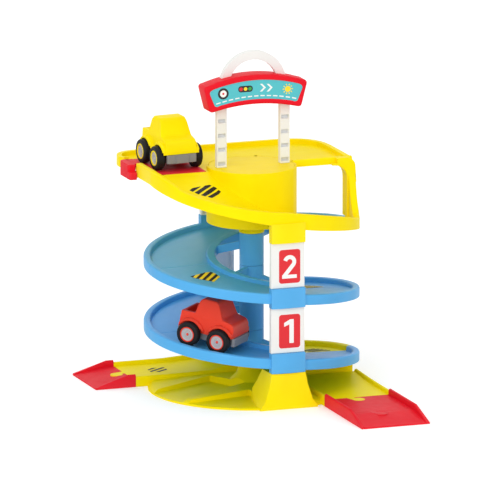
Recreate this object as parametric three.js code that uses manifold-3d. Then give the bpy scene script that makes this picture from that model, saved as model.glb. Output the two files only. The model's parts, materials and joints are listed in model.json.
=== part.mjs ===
import * as THREE from 'three';
import { mergeVertices } from 'three/addons/utils/BufferGeometryUtils.js';
import Module from 'manifold-3d';

// Toy parking garage: a base with two entry arms, four half turns of spiral road on a hub,
// an upper deck with a launch plate, a hand lift in a round shaft, and two toy cars.
// Millimetres, +Z up, origin on the ground at the axis of the spiral.
// Turning angles start at -X and run anticlockwise seen from above, the way a car drives down.

const wasm = await Module();
wasm.setup();

// Fits shared by all pieces
const gap = 0.3;
const overrun = 2;
const wallSkin = 2.5;
const crownRound = 3;
const crownShare = 0.3;
const crownHalfShare = 0.48;
const halfTurn = 180;
const quarterTurn = 90;
const fullTurn = 360;
const tiny = 0.05;

// Spiral road
const ringRadius = 152;
const rimWidth = 10;
const roadInnerRadius = 63.3;
const holeRadius = 51.7;
const pitch = 92.66;
const lowRim = 48.9;
const floorOuterDrop = 7;
const floorInnerDrop = 5;
const floorSkin = 3;
const crestRise = 1;
const skirtDrop = 14.5;
const innerSkirtDrop = 12;
const turnSteps = 14;
const seamDeg = 0.1;
const levels = 4;

// Hub and spokes of the road halves
const hubRadius = 17.2;
const hubBore = 14.9;
const hubRise = 13;
const neckLength = 5;
const neckWall = 2.2;
const shoulder = 3.5;
const spokeWidth = 6;
const spokeDepth = 11.5;
const spokeInside = 16;
const spokeOutside = 53;
const spokeAngles = [45, 135];
const spokeHubTops = [12, -1];
const spokeWallTops = [11.2, -12];

// Tabs on the road halves and the panels between them
const tabWidth = 50;
const tabHeight = 28;
const tabRise = 9.3;
const tabFace = 152.5;
const tabBack = 140.5;
const panelWidth = 49.4;
const panelFace = 149;
const panelBack = 141;
const panelSkin = 2.4;
const panelPocketMargin = 3;
const tongueWidth = 40;
const tongueFront = 146.5;
const tongueBack = 143.5;
const tongueLength = 5;

// Upper deck
const deckFloor = 314.5;
const deckUnder = 311.8;
const deckWallTop = 320.8;
const deckWallWidth = 7;
const frontRimWidth = 8;
const frontRimTop = 322;
const drumRound = 1.2;
const deckSkirt = 306;
const deckLeft = 152;
const deckBulge = 158;
const deckRight = 150.5;
const deckBack = 152;
const cornerWallFront = 106;
const deckLeftCorner = 40;
const deckRightCorner = 62;
const leftWallBack = 54.5;
const leftWallTop = 322.5;
const leftWallBottom = 303;
const drumRadius = 63.5;
const drumInner = 61;
const drumTop = 320;
const drumFloorTop = 243;
const drumFloorUnder = 240;
const bossRadius = 18;
const bossFlareRadius = 24;
const bossFlareDrop = 7;
const bossRibCount = 8;
const bossRibWidth = 2.4;
const bossRibRadius = 22;
const bossRibDrop = 12;
const guideWidth = 4;
const guideDepth = 1.9;
const doorHalf = 35;
const doorSill = 250;
const doorSpring = 270;
const doorNear = 40;
const doorReach = 90;
const guideTop = 318;
const legInner = 140;
const legDepth = 9;
const legBack = 11;
const legBackFoot = 236.6;
const legFillet = 20;
const legFoot = 232;
const legOuterLine = [[153, 287], [155, 258], [152, 236], [152, 232]];

// Upper road, from the launch plate down to the first road half:
// rows of [turning angle, height] for its wall, its floor and its lower edge
const upperWallTops = [
  [0, 322.5], [8, 321.5], [16, 318.8], [23, 311.5], [31, 304.4], [51, 294.8], [75, 285], [93, 280.4],
  [112, 271.5], [129, 262.4], [150, 249.5], [160, 244], [166, 249], [171, 262], [175, 284], [177.5, 311.8],
];
const upperFloors = [
  [0, 314.5], [18, 306.7], [34, 298.3], [52, 289.3], [71, 276.9], [91, 266.1], [114, 256], [139, 245],
  [160, 236.5], [180, 228.3],
];
const upperBottoms = [
  [0, 303], [16, 296.9], [30, 289.8], [51, 279.9], [62, 274.5], [104, 252.6], [115, 248.3], [143, 236.4],
  [180, 219.8],
];
const upperStations = [
  0, 10, 20, 30, 40, 50, 60, 70, 80, 90, 100, 110, 120, 130, 140, 150, 158, 165, 170, 174, 177, 180,
];
const upperBanks = [[0, 0], [40, 4], [90, 5], [140, 4], [180, 2]];
const upperFloorSkin = 3;

// Launch plate in its tray
const trayLeft = 142.5;
const trayRight = 63.5;
const trayFront = 1;
const trayBack = 108;
const trayUnder = 306.2;
const trayFloor = 308.6;
const wellLeft = 140;
const wellRight = 66;
const wellFront = 3;
const wellBack = 106;
const plateFront = 4.5;
const plateThickness = 2.6;
const plateProud = 0.4;
const pivotY = 6.2;
const pivotZ = 311.6;
const pivotRadius = 1.7;
const pivotReach = 2;
const plateSlopeDeg = 1.5;
const earDepth = 2.9;
const earWidth = 2.4;
const plateRestX = [130, 76];
const plateRestY = 102;
const plateRestWidth = 4;
const plateRibWidth = 1.6;
const plateRibHeight = 2;
const plateRibShares = [0.15, 0.5, 0.85];

// Launch lever
const slotLeft = 119;
const slotRight = 80;
const slotFront = 62;
const slotBack = 94;
const leverX = 125;
const leverZ = 301.6;
const leverPinRadius = 2;
const armFront = 64;
const armBack = 92;
const armLow = 299.4;
const armHigh = 303.8;
const tipX = 88;
const tipY = 70;
const tipWidth = 5;
const tipLength = 6;
const lugThickness = 3;
const lugWidth = 8;
const lugLow = 298.4;
const grabOuter = 163.5;
const grabInner = 152.6;
const grabFront = 57;
const grabBack = 97;
const grabTop = 320;
const grabLow = 299.4;
const grabToeFront = 50;
const grabToeTop = 310;
const grabCorner = 4;
const grabRound = 9;
const leverLipInner = 143;
const leverLipFront = 61;
const leverLipBack = 96;
const leverLipLow = 315.2;
const leverLipClear = 1.5;

// Lift
const platformRadius = 60.5;
const platformTop = 319.8;
const platformThickness = 3;
const platformSkirt = 9;
const platformWall = 2;
const liftCentreX = 1.3;
const postSpacing = 47;
const postWidth = 14.4;
const postDepth = 8.8;
const postTop = 436;
const seatGap = 0.2;
const footDepth = 6;
const footInset = 1.2;
const footPocket = 7.5;
const footPocketWall = 2;
const windowWidth = 10.7;
const windowHeight = 5.5;
const windowDepth = 4;
const windowHeights = [325.5, 345.7, 365.6, 386.6];
const archOuter = 49.3;
const archInner = 36.5;
const archDepth = 8.8;
const archCentre = 435;

// Sign on the lift frame
const signFront = 20;
const signBack = 8;
const signBevel = 4.5;
const signTopHalf = 74.5;
const signBottomHalf = 65;
const signTopCentre = 449.5;
const signTopEnd = 436.5;
const signBottomCentre = 413.5;
const signBottomEnd = 405;
const signGrow = 3;
const signEndRound = 5;
const signWall = 2.4;
const signPanelInset = 4.2;
const signPanelRecess = 0.8;
const signPostGap = 0.35;
const signSteps = 8;
const signSlideSteps = 2;

// Base
const baseRadius = 147;
const discTop = [[147, 3], [139, 8], [70, 11], [30, 13], [22, 21], [19, 29]];
const socketRadius = 19;
const hollowRadius = 144.5;
const discHollow = [[144.5, 1.2], [137.5, 5.4], [70, 8.4], [27.5, 10.6], [19.5, 18.5]];
const bayFloor = 3;
const baySkin = 2;
const bayDraft = 1.5;
const leftBay = [[-142, -1], [-48, 41], [-20, -22], [-114, -64]];
const leftBayEnd = [[-162, -10], [-134, -73]];
const frontBay = [[-122, -78], [-26, -60], [-20, -150], [-110, -150]];
const armLeftWall = 55;
const armRightWall = 156;
const armWallWidth = 5.5;
const armSkin = 2.2;
const armFloor = 9.5;
const armTop = 15;
const crownMostShare = 0.8;
const leftArmEnd = 153;
const frontArmEnd = 147;
const frontArmRows = [[-10, 13.5, 17], [-60, 10.5, 15.5], [-100, 9.5, 15]];
const leftArmRows = [
  [-40, 155.5, 7.5, 54.5, 7.5, 17.5, 16, 11.5, 12],
  [-80, 156, 5.5, 55, 5.5, 15, 15, 9.5, 9.5],
];
const trackWallDeg = 1;
const endWall = 2.5;
const linkTop = 18;
const linkEnd = 237.5;
const rampFlat = 11;
const frontRampEnd = 297.4;
const leftRampEnd = 213;
const rampTipTop = 2.6;
const rampTipFloor = 1.9;
const pylonFront = [[-25, 53], [25, 53], [29, 36], [38, 12], [46, 3], [46, 0], [-40, 0], [-38, 5],
  [-33, 12], [-28, 33]];
const pylonSide = [[-152.5, 53], [-152.5, 44], [-147, 5], [-147, 0], [-73, 0], [-76, 5], [-109, 48],
  [-113, 53]];
const pylonPlan = [[-45, -160], [-28, -72], [28, -72], [50, -160]];
const pylonFrontHollow = [[-22.5, 46], [22.5, 46], [26.5, 35], [35, 11], [42, 1], [42, -2], [-36, -2],
  [-35, 4], [-30.5, 11], [-25.5, 32]];
const pylonSideHollow = [[-150, 46], [-150, 43], [-144.5, 4], [-144.5, -2], [-77, -2], [-79, 4], [-112, 46],
  [-116, 46]];
const pylonPlanHollow = [[-42, -165], [-25.5, -74], [25.5, -74], [47, -165]];
const knobRadius = 9;
const knobReach = 22;
const knobShift = 9;
const knobNeck = 10;
const knobLean = 6;
const knobAside = 4;
const knobSkin = 3;
const knobClear = 0.35;

// Cars
const wheelRadius = 17;
const tyreWidth = 11.5;
const axleHalfBase = 23.5;
const trackOuter = 69;
const tyreBore = 12.3;
const tyreShoulder = 2.2;
const hubSocket = 7.5;
const hubProfile = [
  [1.8, 0.8], [12, 0.8], [12, 11], [10.2, 11], [9.6, 9.4], [0, 9.4], [0, hubSocket], [1.8, hubSocket],
];
const axleRadius = 1.5;
const axleClear = 0.35;
const carSide = [
  [-42.5, 24], [-42.5, 34], [-41, 46.5], [-20, 47.5], [-15.5, 66], [-11, 70], [9, 70], [13.5, 67], [23, 47],
  [38.5, 43.5], [42, 38], [42.5, 24], [34, 24], [20, 20], [-20, 20], [-34, 24],
];
const carFront = [[-23, 18], [23, 18], [23, 46], [19, 71], [-19, 71], [-23, 46]];
const bed = [-37.8, -21.5, -18, 18, 36, 90];
const archCut = 19.5;
const archLip = 22.5;
const archLipHalf = 27;
const archInside = 22.2;
const lipRoot = 21;
const lipFoot = 24;
const lipEnd = 42;
const cavityHalf = 19.5;
const cavityEnd = 38.5;
const cavityTop = 32;
const chassisLow = 10;
const chassisHigh = 31.8;
const chassisHalf = 19.1;
const chassisEnd = 38.1;
const chassisWall = 2.4;
const bumperLow = 12;
const bumperHigh = 23.7;
const bumperHalf = 22.5;
const bumperEnd = 45.5;
const bumperWide = 41;
const bumperStart = 36;
const bumperCorner = 3.5;
const yellowCarX = 102;
const yellowCarY = 58.4;
const yellowCarTurn = 4.5;
const carClear = 0.15;
const redCarRadius = 101.5;
const redCarAngle = 36.8;
const redCarSteer = 6;
const redCarPitch = 8.1;
const redCarRoll = 2.3;
const redCarLift = 1.3;

// Round pieces
const domeSegments = 32;
const fineSegments = 30;
const hubSegments = 14;
const wheelSegments = 14;
const pinSegments = 12;

const colours = {
  yellow: { color: 0xffe100, roughness: 0.32 },
  blue: { color: 0x1e9be6, roughness: 0.3 },
  red: { color: 0xe3202b, roughness: 0.35 },
  white: { color: 0xf2f2f4, roughness: 0.4 },
  black: { color: 0x1c1c1e, roughness: 0.75 },
  grey: { color: 0x8d9096, roughness: 0.45 },
  steel: { color: 0xb9bcc0, roughness: 0.3, metalness: 0.9 },
};

const radians = THREE.MathUtils.degToRad;

// Solids from triangles and from three.js geometry
function solidFromTriangles(positions, triangles) {
  const corner = (i) => new THREE.Vector3(positions[3 * i], positions[3 * i + 1], positions[3 * i + 2]);
  const facing = [];
  let volume = 0;
  for (let t = 0; t < triangles.length; t += 3) {
    const [a, b, c] = [triangles[t], triangles[t + 1], triangles[t + 2]];
    if (a !== b && b !== c && c !== a) {
      facing.push(a, b, c);
      volume += corner(a).dot(corner(b).cross(corner(c)));
    }
  }
  if (volume < 0) {
    for (let t = 0; t < facing.length; t += 3) {
      [facing[t + 1], facing[t + 2]] = [facing[t + 2], facing[t + 1]];
    }
  }
  const mesh = new wasm.Mesh({
    numProp: 3,
    vertProperties: new Float32Array(positions),
    triVerts: new Uint32Array(facing),
  });
  return new wasm.Manifold(mesh);
}

function solidFromGeometry(geometry) {
  const bare = geometry.index ? geometry.toNonIndexed() : geometry.clone();
  bare.deleteAttribute('normal');
  bare.deleteAttribute('uv');
  const merged = mergeVertices(bare, 1e-4);
  return solidFromTriangles(Array.from(merged.attributes.position.array), Array.from(merged.index.array));
}

function geometryFromSolid(solid) {
  const mesh = solid.getMesh();
  const geometry = new THREE.BufferGeometry();
  const positions = new Float32Array(mesh.numVert * 3);
  for (let i = 0; i < mesh.numVert; i += 1) {
    for (let k = 0; k < 3; k += 1) {
      positions[3 * i + k] = mesh.vertProperties[mesh.numProp * i + k];
    }
  }
  geometry.setAttribute('position', new THREE.BufferAttribute(positions, 3));
  geometry.setIndex(new THREE.BufferAttribute(new Uint32Array(mesh.triVerts), 1));
  geometry.computeVertexNormals();
  return geometry;
}

const join = (...solids) => solids.flat().reduce((sum, solid) => sum.add(solid));
const cut = (solid, ...cutters) => cutters.flat().reduce((rest, cutter) => rest.subtract(cutter), solid);
const turned = (solid, degrees) => solid.rotate([0, 0, degrees]);
const moved = (solid, x, y, z) => solid.translate([x, y, z]);

// Basic shapes
function box(x0, x1, y0, y1, z0, z1) {
  const geometry = new THREE.BoxGeometry(Math.abs(x1 - x0), Math.abs(y1 - y0), Math.abs(z1 - z0));
  geometry.translate((x0 + x1) / 2, (y0 + y1) / 2, (z0 + z1) / 2);
  return solidFromGeometry(geometry);
}

// A closed outline through the points, where a corner with a radius is rounded off
function shapeOf(points, corners = []) {
  const shape = new THREE.Shape();
  points.forEach(([x, y], i) => {
    const here = new THREE.Vector2(x, y);
    const radius = corners[i] ?? 0;
    const before = new THREE.Vector2(...points[(i + points.length - 1) % points.length]);
    const after = new THREE.Vector2(...points[(i + 1) % points.length]);
    const start = here.clone().add(before.sub(here).setLength(radius));
    const end = here.clone().add(after.sub(here).setLength(radius));
    if (i === 0) {
      shape.moveTo(start.x, start.y);
    } else {
      shape.lineTo(start.x, start.y);
    }
    if (radius > 0) {
      shape.quadraticCurveTo(here.x, here.y, end.x, end.y);
    }
  });
  shape.closePath();
  return shape;
}

function extrudeUp(shape, z0, z1, curveSegments = 6) {
  const geometry = new THREE.ExtrudeGeometry(shape, { depth: z1 - z0, bevelEnabled: false, curveSegments });
  geometry.translate(0, 0, z0);
  return solidFromGeometry(geometry);
}

// The outline lies in X and Z, and the solid runs from y0 to y1
function extrudeAcross(shape, y0, y1, curveSegments = 6) {
  const geometry = new THREE.ExtrudeGeometry(shape, { depth: y1 - y0, bevelEnabled: false, curveSegments });
  geometry.rotateX(Math.PI / 2);
  geometry.translate(0, y1, 0);
  return solidFromGeometry(geometry);
}

// The outline lies in Y and Z, and the solid runs from x0 to x1
function extrudeAlong(shape, x0, x1, curveSegments = 6) {
  const geometry = new THREE.ExtrudeGeometry(shape, { depth: x1 - x0, bevelEnabled: false, curveSegments });
  geometry.rotateX(Math.PI / 2);
  geometry.rotateZ(Math.PI / 2);
  geometry.translate(x0, 0, 0);
  return solidFromGeometry(geometry);
}

// The profile is a closed outline of [radius, height] points, turned about Z
function revolve(profile, segments) {
  const points = profile.map(([r, z]) => new THREE.Vector2(r, z));
  points.push(points[0].clone());
  const geometry = new THREE.LatheGeometry(points, segments);
  geometry.rotateX(Math.PI / 2);
  return solidFromGeometry(geometry);
}

function tube(outer, inner, z0, z1, segments) {
  return revolve([[inner, z0], [outer, z0], [outer, z1], [inner, z1]], segments);
}

function disc(radius, z0, z1, segments) {
  return revolve([[0, z0], [radius, z0], [radius, z1], [0, z1]], segments);
}

function pinAlongX(radius, x0, x1, y, z) {
  const geometry = new THREE.CylinderGeometry(radius, radius, Math.abs(x1 - x0), pinSegments);
  geometry.rotateZ(Math.PI / 2);
  geometry.translate((x0 + x1) / 2, y, z);
  return solidFromGeometry(geometry);
}

function pinAlongY(radius, x, y0, y1, z, segments = pinSegments) {
  const geometry = new THREE.CylinderGeometry(radius, radius, Math.abs(y1 - y0), segments);
  geometry.translate(x, (y0 + y1) / 2, z);
  return solidFromGeometry(geometry);
}

// A solid through stations, each an outline of [distance out, height] on its own upright plane
function sweep(stations) {
  const count = stations[0].outline.length;
  const positions = [];
  const triangles = [];
  stations.forEach(({ origin, outward, outline }) => {
    outline.forEach(([r, z]) => {
      positions.push(origin[0] + outward[0] * r, origin[1] + outward[1] * r, z);
    });
  });
  for (let i = 0; i + 1 < stations.length; i += 1) {
    for (let j = 0; j < count; j += 1) {
      const a = i * count + j;
      const b = i * count + ((j + 1) % count);
      triangles.push(a, b, b + count, a, b + count, a + count);
    }
  }
  const capOf = (station) => {
    const contour = station.outline.map(([r, z]) => new THREE.Vector2(r, z));
    const faces = THREE.ShapeUtils.triangulateShape(contour, []);
    return faces.map(([a, b, c]) => {
      const [p, q, s] = [contour[a], contour[b], contour[c]];
      const turn = (q.x - p.x) * (s.y - p.y) - (q.y - p.y) * (s.x - p.x);
      return (turn > 0) === !THREE.ShapeUtils.isClockWise(contour) ? [a, b, c] : [a, c, b];
    });
  };
  const last = (stations.length - 1) * count;
  capOf(stations[0]).forEach(([a, b, c]) => triangles.push(a, c, b));
  capOf(stations.at(-1)).forEach(([a, b, c]) => triangles.push(last + a, last + b, last + c));
  return solidFromTriangles(positions, triangles);
}

const outwardAt = (angle) => [-Math.cos(radians(angle)), -Math.sin(radians(angle))];

// Height from rows of [angle, height]
function table(rows, angle) {
  const next = rows.findIndex(([at]) => at >= angle);
  if (next === -1) {
    return rows.at(-1)[1];
  }
  if (next === 0) {
    return rows[0][1];
  }
  const [[a0, h0], [a1, h1]] = [rows[next - 1], rows[next]];
  return h0 + ((h1 - h0) * (angle - a0)) / (a1 - a0);
}

// Sloped top of a low wall
function lowCrown(side, other, top) {
  const reach = Math.sign(side - other) * crownRound * crownShare;
  const drop = crownRound * crownShare;
  return [[side, top - drop], [side - reach, top], [other + reach, top], [other, top - drop]];
}

// Rounded top of a wall, from its first side over to its other side
function crown(side, other, top, round = crownRound) {
  const most = Math.min(round, Math.abs(side - other) * crownHalfShare);
  const reach = Math.sign(side - other) * most;
  return [
    [side, top - round], [side - reach * crownShare, top - round * crownShare], [side - reach, top],
    [other + reach, top], [other + reach * crownShare, top - round * crownShare], [other, top - round],
  ];
}

// Spiral road
const rimAt = (travel) => lowRim + (pitch * (levels * halfTurn + halfTurn - travel)) / fullTurn;
const rimInner = ringRadius - rimWidth;

function roadTop(rim) {
  return [
    ...crown(ringRadius, rimInner, rim),
    [rimInner, rim - floorOuterDrop], [roadInnerRadius, rim - floorInnerDrop],
    ...lowCrown(roadInnerRadius, holeRadius, rim + crestRise),
  ];
}

function roadHollow(rim, outerLow, innerLow) {
  return [
    [holeRadius + wallSkin, innerLow], [holeRadius + wallSkin, rim + crestRise - wallSkin],
    [roadInnerRadius - wallSkin, rim + crestRise - wallSkin],
    [roadInnerRadius - wallSkin, rim - floorInnerDrop - floorSkin],
    [rimInner + wallSkin, rim - floorOuterDrop - floorSkin], [rimInner + wallSkin, rim - wallSkin],
    [ringRadius - wallSkin, rim - wallSkin], [ringRadius - wallSkin, outerLow],
  ];
}

function roadOutline(rim) {
  const outerLow = rim - skirtDrop;
  const innerLow = rim - innerSkirtDrop;
  return [[ringRadius, outerLow], ...roadTop(rim), [holeRadius, innerLow],
    ...roadHollow(rim, outerLow, innerLow)];
}

function tongue(tipZ, rootZ) {
  return box(-tongueWidth / 2, tongueWidth / 2, -tongueFront, -tongueBack, rootZ, tipZ);
}

function tongueSlot(mouthZ, endZ) {
  const half = tongueWidth / 2 + gap;
  return box(-half, half, -tongueFront - gap, -tongueBack + gap, mouthZ, endZ);
}

const slotDepth = tongueLength + gap;
const middleOf = (level) => rimAt(halfTurn * level + quarterTurn);
const tabTopOf = (level) => middleOf(level) + tabRise;
const tabLowOf = (level) => tabTopOf(level) - tabHeight;

function tabBlock(low, high) {
  return box(-tabWidth / 2, tabWidth / 2, -tabFace, -tabBack, low, high);
}

// A spigot below, a bore above, so that the next tube stands on it
function hubTube(low, high) {
  const spigotInner = hubBore - gap - neckWall;
  return revolve([
    [spigotInner, low - neckLength], [hubBore - gap, low - neckLength], [hubBore - gap, low],
    [hubRadius, low],
    [hubRadius, high], [hubBore, high], [hubBore, low + shoulder], [spigotInner, low + shoulder],
  ], hubSegments);
}

function roadHalf(level) {
  const start = halfTurn * level;
  const middle = middleOf(level);
  const stations = [];
  for (let step = 0; step <= turnSteps; step += 1) {
    const turn = (halfTurn * step) / turnSteps;
    const trimmed = Math.min(Math.max(turn, seamDeg), halfTurn - seamDeg);
    stations.push({ origin: [0, 0], outward: outwardAt(trimmed),
    outline: roadOutline(rimAt(start + trimmed)) });
  }
  const hubTop = middle + hubRise;
  const spokes = spokeAngles.map((angle, i) => {
    const [hubZ, wallZ] = [middle + spokeHubTops[i], middle + spokeWallTops[i]];
    const outline = shapeOf([
      [-spokeOutside, wallZ], [-spokeInside, hubZ], [-spokeInside, hubZ - spokeDepth],
      [-spokeOutside, wallZ - spokeDepth],
    ]);
    return turned(extrudeAcross(outline, -spokeWidth / 2, spokeWidth / 2), angle);
  });
  const high = tabTopOf(level);
  const low = tabLowOf(level);
  const whole = join(sweep(stations), tabBlock(low, high), hubTube(hubTop - pitch / 2 + gap, hubTop), spokes);
  const slots = [tongueSlot(high - slotDepth, high + overrun), tongueSlot(low - overrun, low + slotDepth)];
  return turned(cut(whole, slots), level % 2 === 0 ? 0 : halfTurn);
}

function panel(below, above) {
  const low = below + gap;
  const high = above - gap;
  const half = panelWidth / 2;
  const pocketHalf = half - panelPocketMargin;
  const plate = box(-half, half, -panelFace, -panelBack, low, high);
  const pocket = box(
    -pocketHalf, pocketHalf, -panelFace + panelSkin, -panelBack + overrun, low + panelPocketMargin,
    high - panelPocketMargin,
  );
  const tongues = [
    tongue(high + tongueLength - gap, high - panelPocketMargin),
    tongue(low + panelPocketMargin, low - tongueLength + gap),
  ];
  return join(cut(plate, pocket), tongues);
}

// Upper deck with the upper road, the drum round the lift and the leg at the right
function upperOutline(angle) {
  const top = table(upperWallTops, angle);
  const floor = table(upperFloors, angle);
  const outerFloor = floor - table(upperBanks, angle);
  const low = table(upperBottoms, angle);
  const joint = (drumRadius + drumInner) / 2;
  return [
    [ringRadius, low], ...crown(ringRadius, rimInner, top), [rimInner, outerFloor], [joint, floor],
    [joint, floor - upperFloorSkin], [rimInner + wallSkin, outerFloor - upperFloorSkin],
    [rimInner + wallSkin, top - wallSkin], [ringRadius - wallSkin, top - wallSkin],
    [ringRadius - wallSkin, low],
  ];
}

function deckOutline(inset, frontY) {
  return shapeOf([
    [-deckLeft + inset, frontY], [-deckLeft + inset, cornerWallFront],
    [-deckBulge + inset, cornerWallFront + deckBulge - deckLeft],
    [-deckBulge + inset, deckBack - inset], [deckRight - inset, deckBack - inset],
    [deckRight - inset, frontY],
  ], [0, 0, 0, deckLeftCorner - inset, deckRightCorner - inset, 0]);
}

function deckWalls() {
  const outer = extrudeUp(deckOutline(0, 0), deckSkirt, deckWallTop, 8);
  const inner = extrudeUp(deckOutline(deckWallWidth, -overrun), deckSkirt - overrun, deckWallTop + overrun,
    8);
  const channelOuter = extrudeUp(deckOutline(wallSkin, -overrun), deckSkirt - overrun,
    deckWallTop - wallSkin, 8);
  const channelInner = extrudeUp(deckOutline(deckWallWidth - wallSkin, -2 * overrun),
    deckSkirt - 2 * overrun, deckWallTop, 8);
  const frontLeft = box(-deckBulge - overrun, -rimInner + overrun, -overrun, cornerWallFront,
    deckSkirt - overrun, deckWallTop + overrun);
  return cut(outer, inner, cut(channelOuter, channelInner), frontLeft);
}

function leftWall() {
  const outer = shapeOf([[-ringRadius, leftWallBottom], ...crown(-ringRadius, -rimInner, leftWallTop),
    [-rimInner, leftWallBottom]]);
  const hollow = box(
    -ringRadius + wallSkin, -rimInner - wallSkin, -overrun, leftWallBack, leftWallBottom - overrun,
    leftWallTop - wallSkin,
  );
  const end = moved(disc(rimWidth / 2, leftWallBottom, leftWallTop - crownRound * crownShare, hubSegments),
    -ringRadius + rimWidth / 2, leftWallBack, 0);
  const wall = cut(extrudeAcross(outer, -tiny, leftWallBack), hollow);
  return join(wall, cut(end,
    box(-ringRadius, -rimInner, leftWallBack - rimWidth, leftWallBack - wallSkin, 0, leftWallTop)));
}

// The low wall between the drum and the leg
function frontRim() {
  const outline = shapeOf([[0, deckUnder], ...crown(0, frontRimWidth, frontRimTop),
    [frontRimWidth, deckUnder]]);
  return extrudeAlong(outline, (drumRadius + drumInner) / 2, deckRight - tiny);
}

function boss(low) {
  const spigotInner = hubBore - gap - neckWall;
  const bore = bossRadius - wallSkin;
  const flareLow = drumFloorUnder - bossFlareDrop;
  const outside = revolve([
    [0, low - neckLength], [hubBore - gap, low - neckLength], [hubBore - gap, low], [bossRadius, low],
    [bossRadius, flareLow], [bossFlareRadius, drumFloorUnder + tiny], [0, drumFloorUnder + tiny],
  ], hubSegments);
  const inside = revolve([
    [0, low - neckLength - overrun], [spigotInner, low - neckLength - overrun], [spigotInner, low + shoulder],
    [bore, low + shoulder], [bore, drumFloorUnder], [0, drumFloorUnder],
  ], hubSegments);
  const ribs = [];
  for (let i = 0; i < bossRibCount; i += 1) {
    const rib = box(
      bossRadius - wallSkin / 2, bossRibRadius, -bossRibWidth / 2, bossRibWidth / 2,
      drumFloorUnder - bossRibDrop, drumFloorUnder + tiny,
    );
    ribs.push(turned(rib, (fullTurn * (i + 1 / 2)) / bossRibCount));
  }
  return join(cut(outside, inside), ribs);
}

function topDeck() {
  const road = sweep(upperStations.map((angle) => {
    const trimmed = Math.min(angle, halfTurn - seamDeg);
    return { origin: [0, 0], outward: outwardAt(trimmed), outline: upperOutline(trimmed) };
  }));
  const drumWall = [
    [drumInner, drumFloorUnder], [drumRadius, drumFloorUnder], [drumRadius, drumTop - drumRound],
    [drumRadius - drumRound * crownShare, drumTop - drumRound * crownShare],
    [drumRadius - drumRound, drumTop],
    [drumInner, drumTop],
  ];
  const drum = join(
    revolve(drumWall, fineSegments),
    disc(drumRadius - tiny, drumFloorUnder, drumFloorTop, fineSegments),
  );
  const plate = cut(
    extrudeUp(deckOutline(tiny, -tiny), deckUnder, deckFloor, 8),
    disc((drumRadius + drumInner) / 2, deckUnder - overrun, deckFloor + overrun, fineSegments),
  );
  const tray = box(-trayLeft, -trayRight, trayFront, trayBack, trayUnder, deckFloor - tiny);
  const well = box(-wellLeft, -wellRight, wellFront, wellBack, trayFloor, deckFloor + overrun);
  const slot = box(-slotLeft, -slotRight, slotFront, slotBack, trayUnder - overrun, trayFloor + overrun);
  const leftBore = pinAlongX(pivotRadius + gap, -wellLeft - pivotReach - gap, -wellLeft + overrun, pivotY,
    pivotZ);
  const rightBore = pinAlongX(pivotRadius + gap, -wellRight - overrun, -wellRight + pivotReach + gap,
    pivotY, pivotZ);
  const rests = plateRestX.map((x) => {
    const top = plateLow + (plateRestY - pivotY) * Math.tan(radians(plateSlopeDeg)) - gap;
    return box(-x - plateRestWidth / 2, -x + plateRestWidth / 2, plateRestY - plateRestWidth, plateRestY,
      trayFloor - tiny, top);
  });
  const lugs = [armFront - gap - lugThickness, armBack + gap].map((y) => cut(
    box(-leverX - lugWidth / 2, -leverX + lugWidth / 2, y, y + lugThickness, lugLow, trayUnder + tiny),
    pinAlongY(leverPinRadius + gap, -leverX, y - overrun, y + lugThickness + overrun, leverZ),
  ));
  const legWhole = extrudeAcross(shapeOf([
    [legInner, legFoot], [legInner, deckUnder + tiny], [legInner - legFillet - overrun, deckUnder + tiny],
    [legInner - legFillet - overrun, deckFloor - tiny], [deckRight, deckFloor - tiny], ...legOuterLine,
  ], [0, legFillet, 0, 0, 0]), -legDepth, legBack);
  const leg = cut(legWhole, box(roadInnerRadius, deckBulge, -tiny, legBack + overrun, 0, legBackFoot));
  const front = tabBlock(tabTopOf(2) + pitch - tabHeight, table(upperFloors, quarterTurn));
  const frontSlot = tongueSlot(tabTopOf(2) + pitch - tabHeight - overrun,
    tabTopOf(2) + pitch - tabHeight + slotDepth);
  const back = turned(tabBlock(tabTopOf(1) + pitch - tabHeight, deckUnder + tiny), halfTurn);
  const backSlot = turned(
    tongueSlot(tabTopOf(1) + pitch - tabHeight - overrun, tabTopOf(1) + pitch - tabHeight + slotDepth),
    halfTurn,
  );
  const door = extrudeAcross(shapeOf([
    [-doorHalf, doorSill], [doorHalf, doorSill], [doorHalf, doorSpring + doorHalf],
    [-doorHalf, doorSpring + doorHalf],
  ], [0, 0, doorHalf - tiny, doorHalf - tiny]), doorNear, doorReach);
  const guides = [0, halfTurn].map((angle) => turned(
    box(drumInner - guideDepth, drumInner + tiny, -guideWidth / 2, guideWidth / 2, drumFloorTop - tiny,
    guideTop), angle,
  ));
  const notch = box(
    -deckLeft - overrun, -trayLeft, leverLipFront - leverLipClear, leverLipBack + leverLipClear,
    deckUnder - overrun, deckFloor + overrun,
  );
  const rimHollow = box(
    drumRadius + wallSkin, legInner - legFillet - overrun, wallSkin, frontRimWidth - wallSkin,
    deckUnder - overrun, frontRimTop - wallSkin,
  );
  const hubTop = middleOf(1) + hubRise;
  const walls = [deckWalls(), leftWall(), frontRim()];
  const solid = join(road, drum, plate, walls, tray, leg, front, back, boss(hubTop + gap), lugs);
  const open = cut(solid, well, slot, leftBore, rightBore, frontSlot, backSlot, door, notch, rimHollow);
  return join(open, guides, rests);
}

// Launch plate, built level and then tipped to its resting slope about its own pins
const plateTop = deckFloor + plateProud;
const plateLow = plateTop - plateThickness;

function tipped(solid) {
  return moved(moved(solid, 0, -pivotY, -pivotZ).rotate([plateSlopeDeg, 0, 0]), 0, pivotY, pivotZ);
}

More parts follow.
